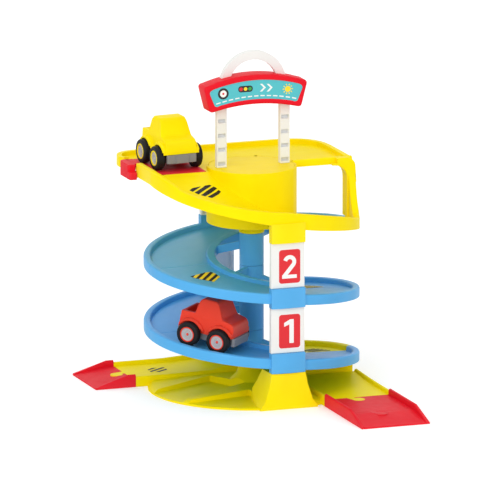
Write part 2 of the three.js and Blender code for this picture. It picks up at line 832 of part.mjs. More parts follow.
function launchPlate() {
  const left = -wellLeft + gap;
  const right = -wellRight - gap;
  const back = wellBack - gap;
  const plate = box(left, right, plateFront, back, plateLow, plateTop);
  const ribs = plateRibShares.map((share) => {
    const x = left + (right - left) * share;
    return box(x - plateRibWidth / 2, x + plateRibWidth / 2, pivotY + earDepth, back - plateRestWidth * 2,
      plateLow - plateRibHeight, plateLow + tiny);
  });
  const ears = [[left, left + earWidth], [right - earWidth, right]].map(([x0, x1]) => box(
    x0, x1, plateFront, pivotY + earDepth, pivotZ - pivotRadius, plateLow + tiny,
  ));
  const pins = [
    pinAlongX(pivotRadius, left - gap - pivotReach, left + earWidth / 2, pivotY, pivotZ),
    pinAlongX(pivotRadius, right - earWidth / 2, right + gap + pivotReach, pivotY, pivotZ),
  ];
  return tipped(join(plate, ribs, ears, pins));
}

function launchLever() {
  const arm = box(-grabOuter + wallSkin, -tipX + tipWidth / 2, armFront, armBack, armLow, armHigh);
  const grip = extrudeUp(shapeOf([
    [-grabOuter, grabFront], [-grabInner, grabFront], [-grabInner, grabBack], [-grabOuter, grabBack],
  ], [grabCorner, 0, 0, grabRound]), grabLow, grabTop, 4);
  const lip = box(-grabInner - wallSkin, -leverLipInner, leverLipFront, leverLipBack, leverLipLow, grabTop);
  const toe = extrudeUp(shapeOf([
    [-grabOuter, grabToeFront], [-grabInner, grabToeFront], [-grabInner, grabFront + tiny],
    [-grabOuter, grabFront + tiny + grabCorner],
  ], [grabCorner, 0, 0, 0]), grabLow, grabToeTop, 4);
  const under = box(
    -grabOuter + wallSkin, -grabInner - wallSkin, armBack, grabBack - wallSkin, grabLow - overrun,
    grabTop - wallSkin,
  );
  const tipHigh = plateLow + (tipY - pivotY) * Math.tan(radians(plateSlopeDeg)) - gap;
  const tip = box(-tipX - tipWidth / 2, -tipX + tipWidth / 2, tipY - tipLength, tipY, armHigh - tiny,
    tipHigh);
  const pins = [
    pinAlongY(leverPinRadius, -leverX, armFront - gap - lugThickness, armFront + overrun, leverZ),
    pinAlongY(leverPinRadius, -leverX, armBack - overrun, armBack + gap + lugThickness, leverZ),
  ];
  return join(cut(join(arm, grip, toe), under), lip, tip, pins);
}

// Lift
function postBoxes(grow, z0, z1, inset = 0) {
  return [-1, 1].map((side) => {
    const x = liftCentreX + side * postSpacing;
    const half = postWidth / 2 - inset + grow;
    const deep = postDepth / 2 - inset + grow;
    return box(x - half, x + half, -deep, deep, z0, z1);
  });
}

function archSolid(grow) {
  const half = archDepth / 2 + grow;
  const ring = tube(archOuter + grow, archInner - grow, -half, half, fineSegments).rotate([90, 0, 0]);
  const lifted = moved(ring, liftCentreX, 0, archCentre);
  const reach = archOuter + 2 * overrun;
  return cut(lifted, box(liftCentreX - reach, liftCentreX + reach, -half - overrun, half + overrun,
    archCentre - reach, archCentre));
}

function liftFrame() {
  const low = platformTop + seatGap;
  const feet = postBoxes(0, platformTop - footDepth, low + overrun, footInset);
  const windows = [-1, 1].flatMap((side) => windowHeights.map((z) => {
    const x = liftCentreX + side * postSpacing;
    return box(
      x - windowWidth / 2, x + windowWidth / 2, -postDepth / 2 - overrun, -postDepth / 2 + windowDepth,
      z - windowHeight / 2, z + windowHeight / 2,
    );
  }));
  return join(cut(join(postBoxes(0, low, postTop)), windows), feet, archSolid(0));
}

function liftPlatform() {
  const low = platformTop - platformSkirt;
  const shell = cut(
    disc(platformRadius, low, platformTop, fineSegments),
    disc(platformRadius - platformWall, low - overrun, platformTop - platformThickness, fineSegments),
  );
  const pockets = postBoxes(footPocketWall, platformTop - footPocket, platformTop - tiny, footInset);
  const holes = postBoxes(gap, platformTop - footDepth - gap, platformTop + overrun, footInset);
  const notches = [0, halfTurn].map((angle) => turned(
    box(drumInner - guideDepth - gap, drumInner + overrun, -guideWidth / 2 - gap, guideWidth / 2 + gap,
    low - overrun, platformTop + overrun),
    angle,
  ));
  return cut(join(shell, pockets), holes, notches);
}

// Sign: a shallow box on the posts, open at the back
function signOutline(grow) {
  const topHalf = signTopHalf + grow - signEndRound;
  const bottomHalf = signBottomHalf + grow - signEndRound;
  const bow = (x, half, centre, end) => centre + (end - centre) * (x / half) ** 2;
  const points = [];
  for (let i = 0; i <= signSteps; i += 1) {
    const x = topHalf * ((2 * i) / signSteps - 1);
    points.push([x, bow(x, signTopHalf, signTopCentre, signTopEnd) + grow]);
  }
  points.push([signTopHalf + grow, signTopEnd + grow - signEndRound]);
  points.push([signBottomHalf + grow, signBottomEnd - grow + signEndRound]);
  for (let i = 0; i <= signSteps; i += 1) {
    const x = bottomHalf * (1 - (2 * i) / signSteps);
    points.push([x, bow(x, signBottomHalf, signBottomCentre, signBottomEnd) - grow]);
  }
  points.push([-signBottomHalf - grow, signBottomEnd - grow + signEndRound]);
  points.push([-signTopHalf - grow, signTopEnd + grow - signEndRound]);
  return points;
}

function signSlab(rows) {
  return sweep(rows.map(([y, grow]) => ({ origin: [0, y], outward: [1, 0], outline: signOutline(grow) })));
}

function signBoard() {
  const front = -signFront;
  const body = signSlab([[front, 0], [front + signBevel, signGrow], [signBack, signGrow]]);
  const hollow = signSlab([
    [front + signWall, -signWall], [front + signBevel, signGrow - signWall],
    [signBack + overrun, signGrow - signWall],
  ]);
  const recess = signSlab([[front - overrun, -signPanelInset], [front + signPanelRecess, -signPanelInset]]);
  const frameSpace = join(postBoxes(signPostGap, signBottomEnd - pitch, postTop), archSolid(signPostGap));
  const slideOff = [...Array(signSlideSteps).keys()].map((i) => moved(frameSpace, 0, i * postDepth, 0));
  return cut(body, hollow, recess, slideOff);
}

// Troughs: a floor between two walls; `near` and `far` are the outer faces of the walls
function troughTop(near, far, floor, top) {
  const round = Math.min(crownRound, (top - floor) * crownMostShare);
  return [
    [near, 0], ...crown(near, near + armWallWidth, top, round), [near + armWallWidth, floor],
    [far - armWallWidth, floor], ...crown(far - armWallWidth, far, top, round), [far, 0],
  ];
}

function troughHollow(near, far, floor, top) {
  const skin = armSkin;
  return [
    [near + skin, -overrun], [near + skin, top - skin], [near + armWallWidth - skin, top - skin],
    [near + armWallWidth - skin, floor - skin], [far - armWallWidth + skin, floor - skin],
    [far - armWallWidth + skin, top - skin], [far - skin, top - skin], [far - skin, -overrun],
  ];
}

function trough(rows, along) {
  const stationsOf = (outlineOf) => rows.map(([at, floor, top]) => ({
    origin: along === 'x' ? [at, 0] : [0, at],
    outward: along === 'x' ? [0, 1] : [1, 0],
    outline: outlineOf(armLeftWall, armRightWall, floor, top),
  }));
  return { solid: sweep(stationsOf(troughTop)), hollow: sweep(stationsOf(troughHollow)) };
}

// A hooked knob on the end of one trough fits the bay in the next
function knob(grow, z0, z1) {
  const half = knobNeck / 2 + grow;
  const head = moved(disc(knobRadius + grow, z0, z1, hubSegments), 0, -knobReach + knobRadius, 0);
  const stem = extrudeUp(shapeOf([
    [-half - knobShift, overrun], [half - knobShift, overrun],
    [knobRadius + grow - knobLean, -knobReach + knobRadius],
    [-knobRadius - grow, -knobReach + knobRadius],
  ]), z0, z1);
  return join(head, stem);
}

const armMiddle = (armLeftWall + armRightWall) / 2;
const frontKnob = (grow, y, z0, z1) => moved(knob(grow, z0, z1), armMiddle - knobAside, -y, 0);
const leftKnob = (grow, x, z0, z1) => moved(turned(knob(grow, z0, z1), -quarterTurn), -x,
  armMiddle - knobAside, 0);

function frontLink() {
  const start = -frontArmEnd - gap;
  const end = -linkEnd + gap;
  const { solid, hollow } = trough([[end, armFloor, linkTop], [start, armFloor, linkTop]], 'y');
  const body = cut(solid, hollow, frontKnob(knobClear, frontArmEnd, -overrun, armTop));
  return join(body, frontKnob(0, linkEnd, armFloor - knobSkin, armFloor));
}

function frontRamp() {
  const start = -linkEnd;
  const { solid, hollow } = trough([
    [-frontRampEnd, rampTipFloor, rampTipTop], [start - rampFlat, armFloor, linkTop],
    [start, armFloor, linkTop],
  ], 'y');
  return cut(solid, hollow, frontKnob(knobClear, linkEnd, -overrun, armTop));
}

function leftRamp() {
  const start = -leftArmEnd - gap;
  const { solid, hollow } = trough([
    [-leftRampEnd, rampTipFloor, rampTipTop], [start - rampFlat, armFloor, linkTop],
    [start, armFloor, linkTop],
  ], 'x');
  return cut(solid, hollow, leftKnob(knobClear, leftArmEnd, -overrun, armTop));
}

// Base: a shell under the disc, the lowest quarter of the spiral, two arms and the front pylon
function baseTrack() {
  const tops = [];
  const hollows = [];
  for (let step = 0; step <= turnSteps / 2; step += 1) {
    const turn = (halfTurn * step) / turnSteps;
    const rim = rimAt(levels * halfTurn + halfTurn + turn);
    const outward = outwardAt(halfTurn + turn);
    const insideTurn = Math.max(turn, trackWallDeg);
    tops.push({ origin: [0, 0], outward, outline: [[ringRadius, 0], ...roadTop(rim), [holeRadius, 0]] });
    hollows.push({ origin: [0, 0], outward: outwardAt(halfTurn + insideTurn),
    outline: roadHollow(rim, -overrun, -overrun) });
  }
  const arm = [...leftArmRows, [-leftArmEnd, ...leftArmRows.at(-1).slice(1)]];
  arm.forEach(([x, outer, outerWidth, inner, innerWidth, outerTop, innerTop, outerFloor, innerFloor], i) => {
    const at = i === arm.length - 1 ? x + endWall : x;
    tops.push({
      origin: [x, 0],
      outward: [0, 1],
      outline: [
        [outer, 0], ...crown(outer, outer - outerWidth, outerTop), [outer - outerWidth, outerFloor],
        [inner + innerWidth, innerFloor], ...lowCrown(inner + innerWidth, inner, innerTop), [inner, 0],
      ],
    });
    hollows.push({
      origin: [at, 0],
      outward: [0, 1],
      outline: [
        [inner + armSkin, -overrun], [inner + armSkin, innerTop - armSkin],
        [inner + innerWidth - armSkin, innerTop - armSkin],
        [inner + innerWidth - armSkin, innerFloor - armSkin],
        [outer - outerWidth + armSkin, outerFloor - armSkin],
        [outer - outerWidth + armSkin, outerTop - armSkin],
        [outer - armSkin, outerTop - armSkin], [outer - armSkin, -overrun],
      ],
    });
  });
  return { solid: sweep(tops), hollow: sweep(hollows) };
}

// A bay for parking a car: an outline that widens upwards from its floor
function bayBlock(corners, grow, z0, z1) {
  const shape = shapeOf(corners);
  const geometry = new THREE.ExtrudeGeometry(shape, {
    depth: z1, bevelEnabled: true, bevelThickness: z1 - z0, bevelSize: bayDraft, bevelOffset: grow,
    bevelSegments: 1,
  });
  geometry.translate(0, 0, z1);
  return solidFromGeometry(geometry);
}

function basePylon() {
  const solid = extrudeAcross(shapeOf(pylonFront), -baseRadius - tabWidth, -tabWidth)
    .intersect(extrudeAlong(shapeOf(pylonSide), -tabWidth * 2, tabWidth * 2))
    .intersect(extrudeUp(shapeOf(pylonPlan), -overrun, tabHeight * 2));
  const hollow = extrudeAcross(shapeOf(pylonFrontHollow), -baseRadius - tabWidth, -tabWidth)
    .intersect(extrudeAlong(shapeOf(pylonSideHollow), -tabWidth * 2, tabWidth * 2))
    .intersect(extrudeUp(shapeOf(pylonPlanHollow), -2 * overrun, tabHeight * 2));
  return { solid, hollow };
}

function base() {
  const track = baseTrack();
  const rows = [[-frontArmEnd, armFloor, armTop], ...[...frontArmRows].reverse()];
  const arm = trough(rows, 'y');
  const armHollow = trough([[-frontArmEnd + endWall, armFloor, armTop],
    ...[...frontArmRows].reverse().slice(0, -1),
    [frontArmRows[0][0] - endWall, ...frontArmRows[0].slice(1)]], 'y').hollow;
  const pylon = basePylon();
  const socketTop = middleOf(levels) + hubRise - pitch / 2;
  const clear = [
    box(-leftArmEnd, 0, armLeftWall, armRightWall, -overrun, socketTop),
    box(armLeftWall, armRightWall, -frontArmEnd, frontArmRows[0][0], -overrun, socketTop),
  ];
  const dome = revolve([[0, 0], [baseRadius, 0], ...discTop, [socketRadius, discTop.at(-1)[1] + tiny],
    [0, discTop.at(-1)[1] + tiny]], domeSegments);
  const under = revolve([
    [0, -overrun], [hollowRadius, -overrun], ...discHollow, [0, discHollow.at(-1)[1]],
  ], domeSegments);
  const bays = [[leftBay[0], leftBay[1], leftBay[2], leftBay[3], leftBayEnd[1], leftBayEnd[0]], frontBay];
  const dents = bays.map((corners) => bayBlock(corners, 0, bayFloor, socketTop / 2));
  const shields = bays.map((corners) => bayBlock(corners, baySkin, bayFloor - baySkin, socketTop / 2));
  const disk = cut(dome, clear, dents);
  const diskHollow = cut(under, track.solid, arm.solid, clear, shields);
  const backLow = tabLowOf(3) - (pitch - tabHeight);
  const back = turned(tabBlock(0, backLow), halfTurn);
  const backHollow = turned(box(
    -tabWidth / 2 + wallSkin, tabWidth / 2 - wallSkin, -tabFace + wallSkin, -ringRadius + wallSkin,
    -overrun, backLow - slotDepth - wallSkin,
  ), halfTurn);
  const backSlot = turned(tongueSlot(backLow - slotDepth, backLow + overrun), halfTurn);
  const bore = disc(hubBore, -overrun, socketTop + overrun, hubSegments);
  const shell = cut(
    join(disk, track.solid, arm.solid, pylon.solid, back), diskHollow, track.hollow, armHollow,
    pylon.hollow, backHollow, backSlot, bore,
  );
  const pylonTop = tabLowOf(levels);
  const post = revolve([
    [0, 0], [socketRadius, 0], [socketRadius, socketTop - gap], [hubBore, socketTop - gap],
    [hubBore, armSkin], [0, armSkin],
  ], hubSegments);
  return join(
    shell,
    post,
    tongue(pylonTop + tongueLength - gap, pylonTop - slotDepth),
    frontKnob(0, frontArmEnd, armFloor - knobSkin, armFloor),
    leftKnob(0, leftArmEnd, armFloor - knobSkin, armFloor),
  );
}

// Cars in their own frame: nose along +X, wheels standing on the ground
function carBody() {
  const shell = extrudeAcross(shapeOf(carSide), carFront[0][0], carFront[1][0])
    .intersect(extrudeAlong(shapeOf(carFront), -bumperEnd, bumperEnd));
  const cavity = box(-cavityEnd, cavityEnd, -cavityHalf, cavityHalf, 0, cavityTop);
  const wells = [-1, 1].flatMap((end) => [-1, 1].map((side) => pinAlongY(
    archCut, end * axleHalfBase, side * archInside, side * 2 * archInside, wheelRadius, wheelSegments,
  )));
  const lips = [-1, 1].flatMap((end) => [-1, 1].map((side) => pinAlongY(
    archLip, end * axleHalfBase, side * lipRoot, side * archLipHalf, wheelRadius, wheelSegments,
  )));
  const room = box(-lipEnd, lipEnd, -archLipHalf, archLipHalf, lipFoot, cavityTop * 2);
  return cut(join(shell, join(lips).intersect(room)), wells, cavity, box(...bed));
}

function carChassis() {
  const frame = box(-chassisEnd, chassisEnd, -chassisHalf, chassisHalf, chassisLow, chassisHigh);
  const bumpers = [-1, 1].map((end) => extrudeUp(shapeOf([
    [end * bumperStart, -chassisHalf], [end * bumperWide, -chassisHalf], [end * bumperWide, -bumperHalf],
    [end * bumperEnd, -bumperHalf], [end * bumperEnd, bumperHalf], [end * bumperWide, bumperHalf],
    [end * bumperWide, chassisHalf], [end * bumperStart, chassisHalf],
  ], [0, 0, 0, bumperCorner, bumperCorner, 0, 0, 0]), bumperLow, bumperHigh, 4));
  const hollow = box(
    -chassisEnd + chassisWall, chassisEnd - chassisWall, -chassisHalf + chassisWall,
    chassisHalf - chassisWall,
    chassisLow - overrun, chassisHigh - chassisWall,
  );
  const bores = [-1, 1].map((end) => pinAlongY(
    axleRadius + axleClear, end * axleHalfBase, -cavityHalf, cavityHalf, wheelRadius,
  ));
  return cut(join(frame, bumpers), hollow, bores);
}

function onAxle(solid, end, side) {
  return moved(solid.rotate([-side * quarterTurn, 0, 0]), end * axleHalfBase,
    side * (trackOuter / 2 - tyreWidth), wheelRadius);
}

function carPieces(name, place, material) {
  const tyre = revolve([
    [tyreBore, 0], [wheelRadius - tyreShoulder, 0], [wheelRadius, tyreShoulder],
    [wheelRadius, tyreWidth - tyreShoulder],
    [wheelRadius - tyreShoulder, tyreWidth], [tyreBore, tyreWidth],
  ], wheelSegments);
  const hub = revolve(hubProfile, wheelSegments);
  const axleHalf = trackOuter / 2 - tyreWidth + hubSocket - gap;
  addPart(`${name}_body`, place(carBody()), material);
  addPart(`${name}_chassis`, place(carChassis()), 'grey');
  [['front', 1], ['rear', -1]].forEach(([where, end]) => {
    const axle = pinAlongY(axleRadius, end * axleHalfBase, -axleHalf, axleHalf, wheelRadius);
    addPart(`${name}_${where}_axle`, place(axle), 'steel');
    [['left', 1], ['right', -1]].forEach(([hand, side]) => {
      addPart(`${name}_${where}_${hand}_tyre`, place(onAxle(tyre, end, side)), 'black');
      addPart(`${name}_${where}_${hand}_hub`, place(onAxle(hub, end, side)), 'grey');
    });
  });
}

// The yellow car stands on the launch plate, the red one on the lowest road half
const onPlate = (solid) => tipped(moved(
  turned(solid, yellowCarTurn - quarterTurn), -yellowCarX, yellowCarY, plateTop + carClear,
));

function onRoad(solid) {
  const [x, y] = outwardAt(redCarAngle);
  const middle = (rimInner + roadInnerRadius) / 2;
  const bank = (floorOuterDrop - floorInnerDrop) / (rimInner - roadInnerRadius);
  const drop = floorInnerDrop + bank * (redCarRadius - roadInnerRadius);
  const height = rimAt(levels * halfTurn + redCarAngle) - drop + redCarLift * (middle / redCarRadius);
  const leaned = solid.rotate([redCarRoll, redCarPitch, 0]);
  const heading = redCarAngle + redCarSteer - quarterTurn;
  return moved(turned(leaned, heading), x * redCarRadius, y * redCarRadius, height);
}

const group = new THREE.Group();
group.name = 'toy_parking_garage';

function addPart(name, solid, material) {
  const mesh = new THREE.Mesh(geometryFromSolid(solid), new THREE.MeshStandardMaterial(colours[material]));
  mesh.name = name;
  mesh.material.name = material;
  group.add(mesh);
}

addPart('base', base(), 'yellow');
for (let level = 1; level <= levels; level += 1) {
  addPart(`road_half_${level}`, roadHalf(level), 'blue');
}
addPart('top_deck', topDeck(), 'yellow');
addPart('front_panel_1', panel(tabTopOf(4), tabLowOf(2)), 'white');
addPart('front_panel_2', panel(tabTopOf(2), tabTopOf(2) + pitch - tabHeight), 'white');
addPart('back_panel_1', turned(panel(tabLowOf(3) - pitch + tabHeight, tabLowOf(3)), halfTurn), 'white');
addPart('back_panel_2', turned(panel(tabTopOf(3), tabLowOf(1)), halfTurn), 'white');
addPart('back_panel_3', turned(panel(tabTopOf(1), tabTopOf(1) + pitch - tabHeight), halfTurn), 'white');
addPart('left_ramp', leftRamp(), 'red');
addPart('front_link', frontLink(), 'red');
addPart('front_ramp', frontRamp(), 'red');
addPart('launch_plate', launchPlate(), 'red');
addPart('launch_lever', launchLever(), 'red');
addPart('lift_platform', liftPlatform(), 'yellow');
addPart('lift_frame', liftFrame(), 'white');
addPart('sign_board', signBoard(), 'red');
carPieces('yellow_car', onPlate, 'yellow');
carPieces('red_car', onRoad, 'red');

export default group;
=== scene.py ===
import json
import math

import bmesh
import bpy
import numpy as np
from mathutils import Matrix, Vector
from mathutils.bvhtree import BVHTree


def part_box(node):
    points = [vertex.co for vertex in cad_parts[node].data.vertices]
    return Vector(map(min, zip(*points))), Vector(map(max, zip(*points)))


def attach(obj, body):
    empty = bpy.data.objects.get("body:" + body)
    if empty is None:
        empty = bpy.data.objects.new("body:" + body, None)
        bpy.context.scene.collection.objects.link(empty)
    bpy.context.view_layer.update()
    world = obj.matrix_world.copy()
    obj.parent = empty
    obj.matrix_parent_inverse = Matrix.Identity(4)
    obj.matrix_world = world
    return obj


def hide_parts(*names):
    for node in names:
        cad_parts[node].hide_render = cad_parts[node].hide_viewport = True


# Toy parking garage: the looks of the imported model.
# Metres, +Z up, origin on the ground at the spiral's axis. Shapes are worked out in millimetres.

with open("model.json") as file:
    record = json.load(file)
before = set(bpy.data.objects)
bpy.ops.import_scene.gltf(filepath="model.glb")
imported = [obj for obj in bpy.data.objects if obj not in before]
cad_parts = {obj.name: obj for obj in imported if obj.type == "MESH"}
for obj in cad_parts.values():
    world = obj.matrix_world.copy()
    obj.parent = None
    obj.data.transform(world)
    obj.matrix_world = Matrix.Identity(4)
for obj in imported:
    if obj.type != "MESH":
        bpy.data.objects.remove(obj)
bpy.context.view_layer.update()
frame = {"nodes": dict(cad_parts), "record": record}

MM = 0.001
BEHAVIOUR = frame["record"]["behaviour"]
BODY_OF = {node: body for body, nodes in BEHAVIOUR["bodies"].items() for node in nodes}
JOINTS = {joint["name"]: joint for joint in BEHAVIOUR["joints"]}

# Camera
AZIMUTH = math.radians(-19.8935)
ELEVATION = math.radians(12.3882)
DISTANCE = 16.0
FOCAL_PIXELS = 11383.46
IMAGE_PIXELS = 500
SENSOR = 36.0
TARGET = Vector((-0.002075, 0.000751, 0.197638))
CLIP_NEAR = 1.0
CLIP_FAR = 128.0


def make_camera():
    right = Vector((math.cos(AZIMUTH), math.sin(AZIMUTH), 0))
    back = Vector((
        math.sin(AZIMUTH) * math.cos(ELEVATION),
        -math.cos(AZIMUTH) * math.cos(ELEVATION),
        math.sin(ELEVATION),
    ))
    up = back.cross(right)
    data = bpy.data.cameras.new("camera")
    data.sensor_width = SENSOR
    data.lens = FOCAL_PIXELS / IMAGE_PIXELS * SENSOR
    data.clip_start = CLIP_NEAR
    data.clip_end = CLIP_FAR
    camera = bpy.data.objects.new("camera", data)
    bpy.context.scene.collection.objects.link(camera)
    turn = Matrix((right, up, back)).transposed()
    camera.matrix_world = Matrix.Translation(TARGET + back * DISTANCE) @ turn.to_4x4()
    bpy.context.scene.camera = camera


# Soft studio light: name, azimuth and elevation in degrees, strength, width in degrees, colour
LAMPS = (
    ("key", -42, 24, 0.82, 40, (1, 0.99, 0.98)),
    ("fill", 18, 12, 0.36, 60, (0.98, 0.99, 1)),
    ("top", -20, 72, 0.42, 60, (1, 1, 1)),
    ("back", 170, 45, 0.3, 60, (1, 1, 1)),
)
AMBIENT = 0.68
SEEN_WHITE = 1.0


def sun(name, azimuth, elevation, strength, width, colour):
    data = bpy.data.lights.new(name, "SUN")
    data.energy = strength
    data.angle = math.radians(width)
    data.color = colour
    lamp = bpy.data.objects.new(name, data)
    bpy.context.scene.collection.objects.link(lamp)
    a, e = math.radians(azimuth), math.radians(elevation)
    toward = Vector((math.sin(a) * math.cos(e), -math.cos(a) * math.cos(e), math.sin(e)))
    lamp.rotation_mode = "QUATERNION"
    lamp.rotation_quaternion = toward.to_track_quat("Z", "Y")


def make_world():
    """Even white light on the object. The camera, gloss and glass see plain white."""
    world = bpy.data.worlds.new("studio")
    bpy.context.scene.world = world
    world.use_nodes = True
    tree = world.node_tree
    tree.nodes.clear()
    path = tree.nodes.new("ShaderNodeLightPath")
    mix = tree.nodes.new("ShaderNodeMixShader")
    for side, strength in ((1, AMBIENT), (2, SEEN_WHITE)):
        light = tree.nodes.new("ShaderNodeBackground")
        light.inputs["Color"].default_value = (1, 1, 1, 1)
        light.inputs["Strength"].default_value = strength
        tree.links.new(light.outputs[0], mix.inputs[side])
    seen = path.outputs["Is Camera Ray"]
    for ray in ("Is Glossy Ray", "Is Transmission Ray"):
        either = tree.nodes.new("ShaderNodeMath")
        either.operation = "MAXIMUM"
        tree.links.new(seen, either.inputs[0])
        tree.links.new(path.outputs[ray], either.inputs[1])
        seen = either.outputs[0]
    tree.links.new(seen, mix.inputs["Fac"])
    out = tree.nodes.new("ShaderNodeOutputWorld")
    tree.links.new(mix.outputs[0], out.inputs["Surface"])


# Pale floor, which looks a little lighter to the camera than the light alone makes it
FLOOR_HALF = 8.0
FLOOR_SINK = 0.05
FLOOR_SHADE = 0.97
FLOOR_ROUGHNESS = 0.9
FLOOR_SPECULAR = 0.1
FLOOR_LIFT = 0.2


def floor_material():
    material = bpy.data.materials.new("pale_floor")
    material.use_nodes = True
    tree = material.node_tree
    shader = tree.nodes["Principled BSDF"]
    shader.inputs["Base Color"].default_value = (FLOOR_SHADE, FLOOR_SHADE, FLOOR_SHADE, 1)
    shader.inputs["Roughness"].default_value = FLOOR_ROUGHNESS
    shader.inputs["Specular IOR Level"].default_value = FLOOR_SPECULAR
    path = tree.nodes.new("ShaderNodeLightPath")
    lift = tree.nodes.new("ShaderNodeMath")
    lift.operation = "MULTIPLY"
    lift.inputs[1].default_value = FLOOR_LIFT
    glow = tree.nodes.new("ShaderNodeEmission")
    both = tree.nodes.new("ShaderNodeAddShader")
    tree.links.new(path.outputs["Is Camera Ray"], lift.inputs[0])
    tree.links.new(lift.outputs[0], glow.inputs["Strength"])
    tree.links.new(shader.outputs[0], both.inputs[0])
    tree.links.new(glow.outputs[0], both.inputs[1])
    tree.links.new(both.outputs[0], tree.nodes["Material Output"].inputs["Surface"])
    return material


def make_floor():
    half = FLOOR_HALF
    corners = [(-half, -half, 0), (half, -half, 0), (half, half, 0), (-half, half, 0)]
    mesh = bpy.data.meshes.new("floor")
    mesh.from_pydata(corners, [], [(0, 1, 2, 3)])
    mesh.materials.append(floor_material())
    floor = bpy.data.objects.new("floor", mesh)
    floor.location.z = -FLOOR_SINK * MM
    bpy.context.scene.collection.objects.link(floor)


make_camera()
make_world()
for lamp in LAMPS:
    sun(*lamp)
make_floor()
bpy.context.scene.view_settings.view_transform = "Standard"

# Moulded plastic: noise scales are per metre, and bump heights are in millimetres
TINT_SCALE = 28
TINT_DETAIL = 4
TINT_STOP_SHARES = (0.3, 0.7)
PALE_SHARE = 0.6
GLOSS_SCALE = 90
GLOSS_DETAIL = 3
GLOSS_SHARES = (0.8, 1.25)
GRAIN_SCALE = 1400
GRAIN_DETAIL = 2
GRAIN_HEIGHT = 0.1
WAVE_SCALE = 45
WAVE_DETAIL = 1
WAVE_HEIGHT = 0.4
WAVE_STRENGTH = 0.1
# Painted highlight: sharp edges, found by pointiness, are painted paler towards white
POINTINESS_FROM = 0.53
POINTINESS_TO = 0.62
EDGE_HIGHLIGHT_MOST_SHARE = 0.16
EDGE_HIGHLIGHT_WHITE_SHARE = 0.25


def linear(code):
    """sRGB bytes as 0xRRGGBB to a linear colour."""
    parts = [((code >> shift) & 255) / 255 for shift in (16, 8, 0)]
    return [c / 12.92 if c <= 0.04045 else ((c + 0.055) / 1.055) ** 2.4 for c in parts]


def noise(tree, place, scale, detail):
    made = tree.nodes.new("ShaderNodeTexNoise")
    made.inputs["Scale"].default_value = scale
    made.inputs["Detail"].default_value = detail
    tree.links.new(place.outputs["Object"], made.inputs["Vector"])
    return made.outputs["Fac"]


def bump(tree, height, strength, distance):
    made = tree.nodes.new("ShaderNodeBump")
    made.inputs["Strength"].default_value = strength
    made.inputs["Distance"].default_value = distance * MM
    tree.links.new(height, made.inputs["Height"])
    return made


def tinted(tree, place, base, mottle):
    """The base colour with slow flecks, and a painted highlight that makes sharp edges a touch paler."""
    tint = tree.nodes.new("ShaderNodeValToRGB")
    dark, pale = tint.color_ramp.elements
    dark.position, pale.position = TINT_STOP_SHARES
    dark.color = [c * (1 - mottle) for c in base] + [1]
    pale.color = [min(1, c * (1 + mottle * PALE_SHARE)) for c in base] + [1]
    tree.links.new(noise(tree, place, TINT_SCALE, TINT_DETAIL), tint.inputs["Fac"])
    # Painted highlight: where pointiness is high the colour is mixed towards white
    shape = tree.nodes.new("ShaderNodeNewGeometry")
    edge = tree.nodes.new("ShaderNodeMapRange")
    edge.inputs["From Min"].default_value = POINTINESS_FROM
    edge.inputs["From Max"].default_value = POINTINESS_TO
    edge.inputs["To Min"].default_value = 0
    edge.inputs["To Max"].default_value = EDGE_HIGHLIGHT_MOST_SHARE
    tree.links.new(shape.outputs["Pointiness"], edge.inputs["Value"])
    highlighted = tree.nodes.new("ShaderNodeMix")
    highlighted.data_type = "RGBA"
    highlight_colour = [min(1, c * (1 - EDGE_HIGHLIGHT_WHITE_SHARE) + EDGE_HIGHLIGHT_WHITE_SHARE) for c in base]
    highlighted.inputs["B"].default_value = highlight_colour + [1]
    tree.links.new(edge.outputs["Result"], highlighted.inputs["Factor"])
    tree.links.new(tint.outputs["Color"], highlighted.inputs["A"])
    return highlighted.outputs["Result"]


def plastic(name, code, roughness=0.45, grain=0.05, mottle=0.04, metallic=0.0, specular=0.14):
    """Moulded plastic: fine skin texture, slow flow waves, slight colour and gloss variation."""
    material = bpy.data.materials.new(name)
    material.use_nodes = True
    tree = material.node_tree
    shader = tree.nodes["Principled BSDF"]
    shader.inputs["Metallic"].default_value = metallic
    shader.inputs["Specular IOR Level"].default_value = specular
    place = tree.nodes.new("ShaderNodeTexCoord")
    tree.links.new(tinted(tree, place, linear(code), mottle), shader.inputs["Base Color"])
    rough = tree.nodes.new("ShaderNodeMapRange")
    rough.inputs["To Min"].default_value = roughness * GLOSS_SHARES[0]
    rough.inputs["To Max"].default_value = roughness * GLOSS_SHARES[1]
    tree.links.new(noise(tree, place, GLOSS_SCALE, GLOSS_DETAIL), rough.inputs["Value"])
    tree.links.new(rough.outputs["Result"], shader.inputs["Roughness"])
    fine = bump(tree, noise(tree, place, GRAIN_SCALE, GRAIN_DETAIL), grain, GRAIN_HEIGHT)
    broad = bump(tree, noise(tree, place, WAVE_SCALE, WAVE_DETAIL), WAVE_STRENGTH, WAVE_HEIGHT)
    tree.links.new(fine.outputs["Normal"], broad.inputs["Normal"])
    tree.links.new(broad.outputs["Normal"], shader.inputs["Normal"])
    return material


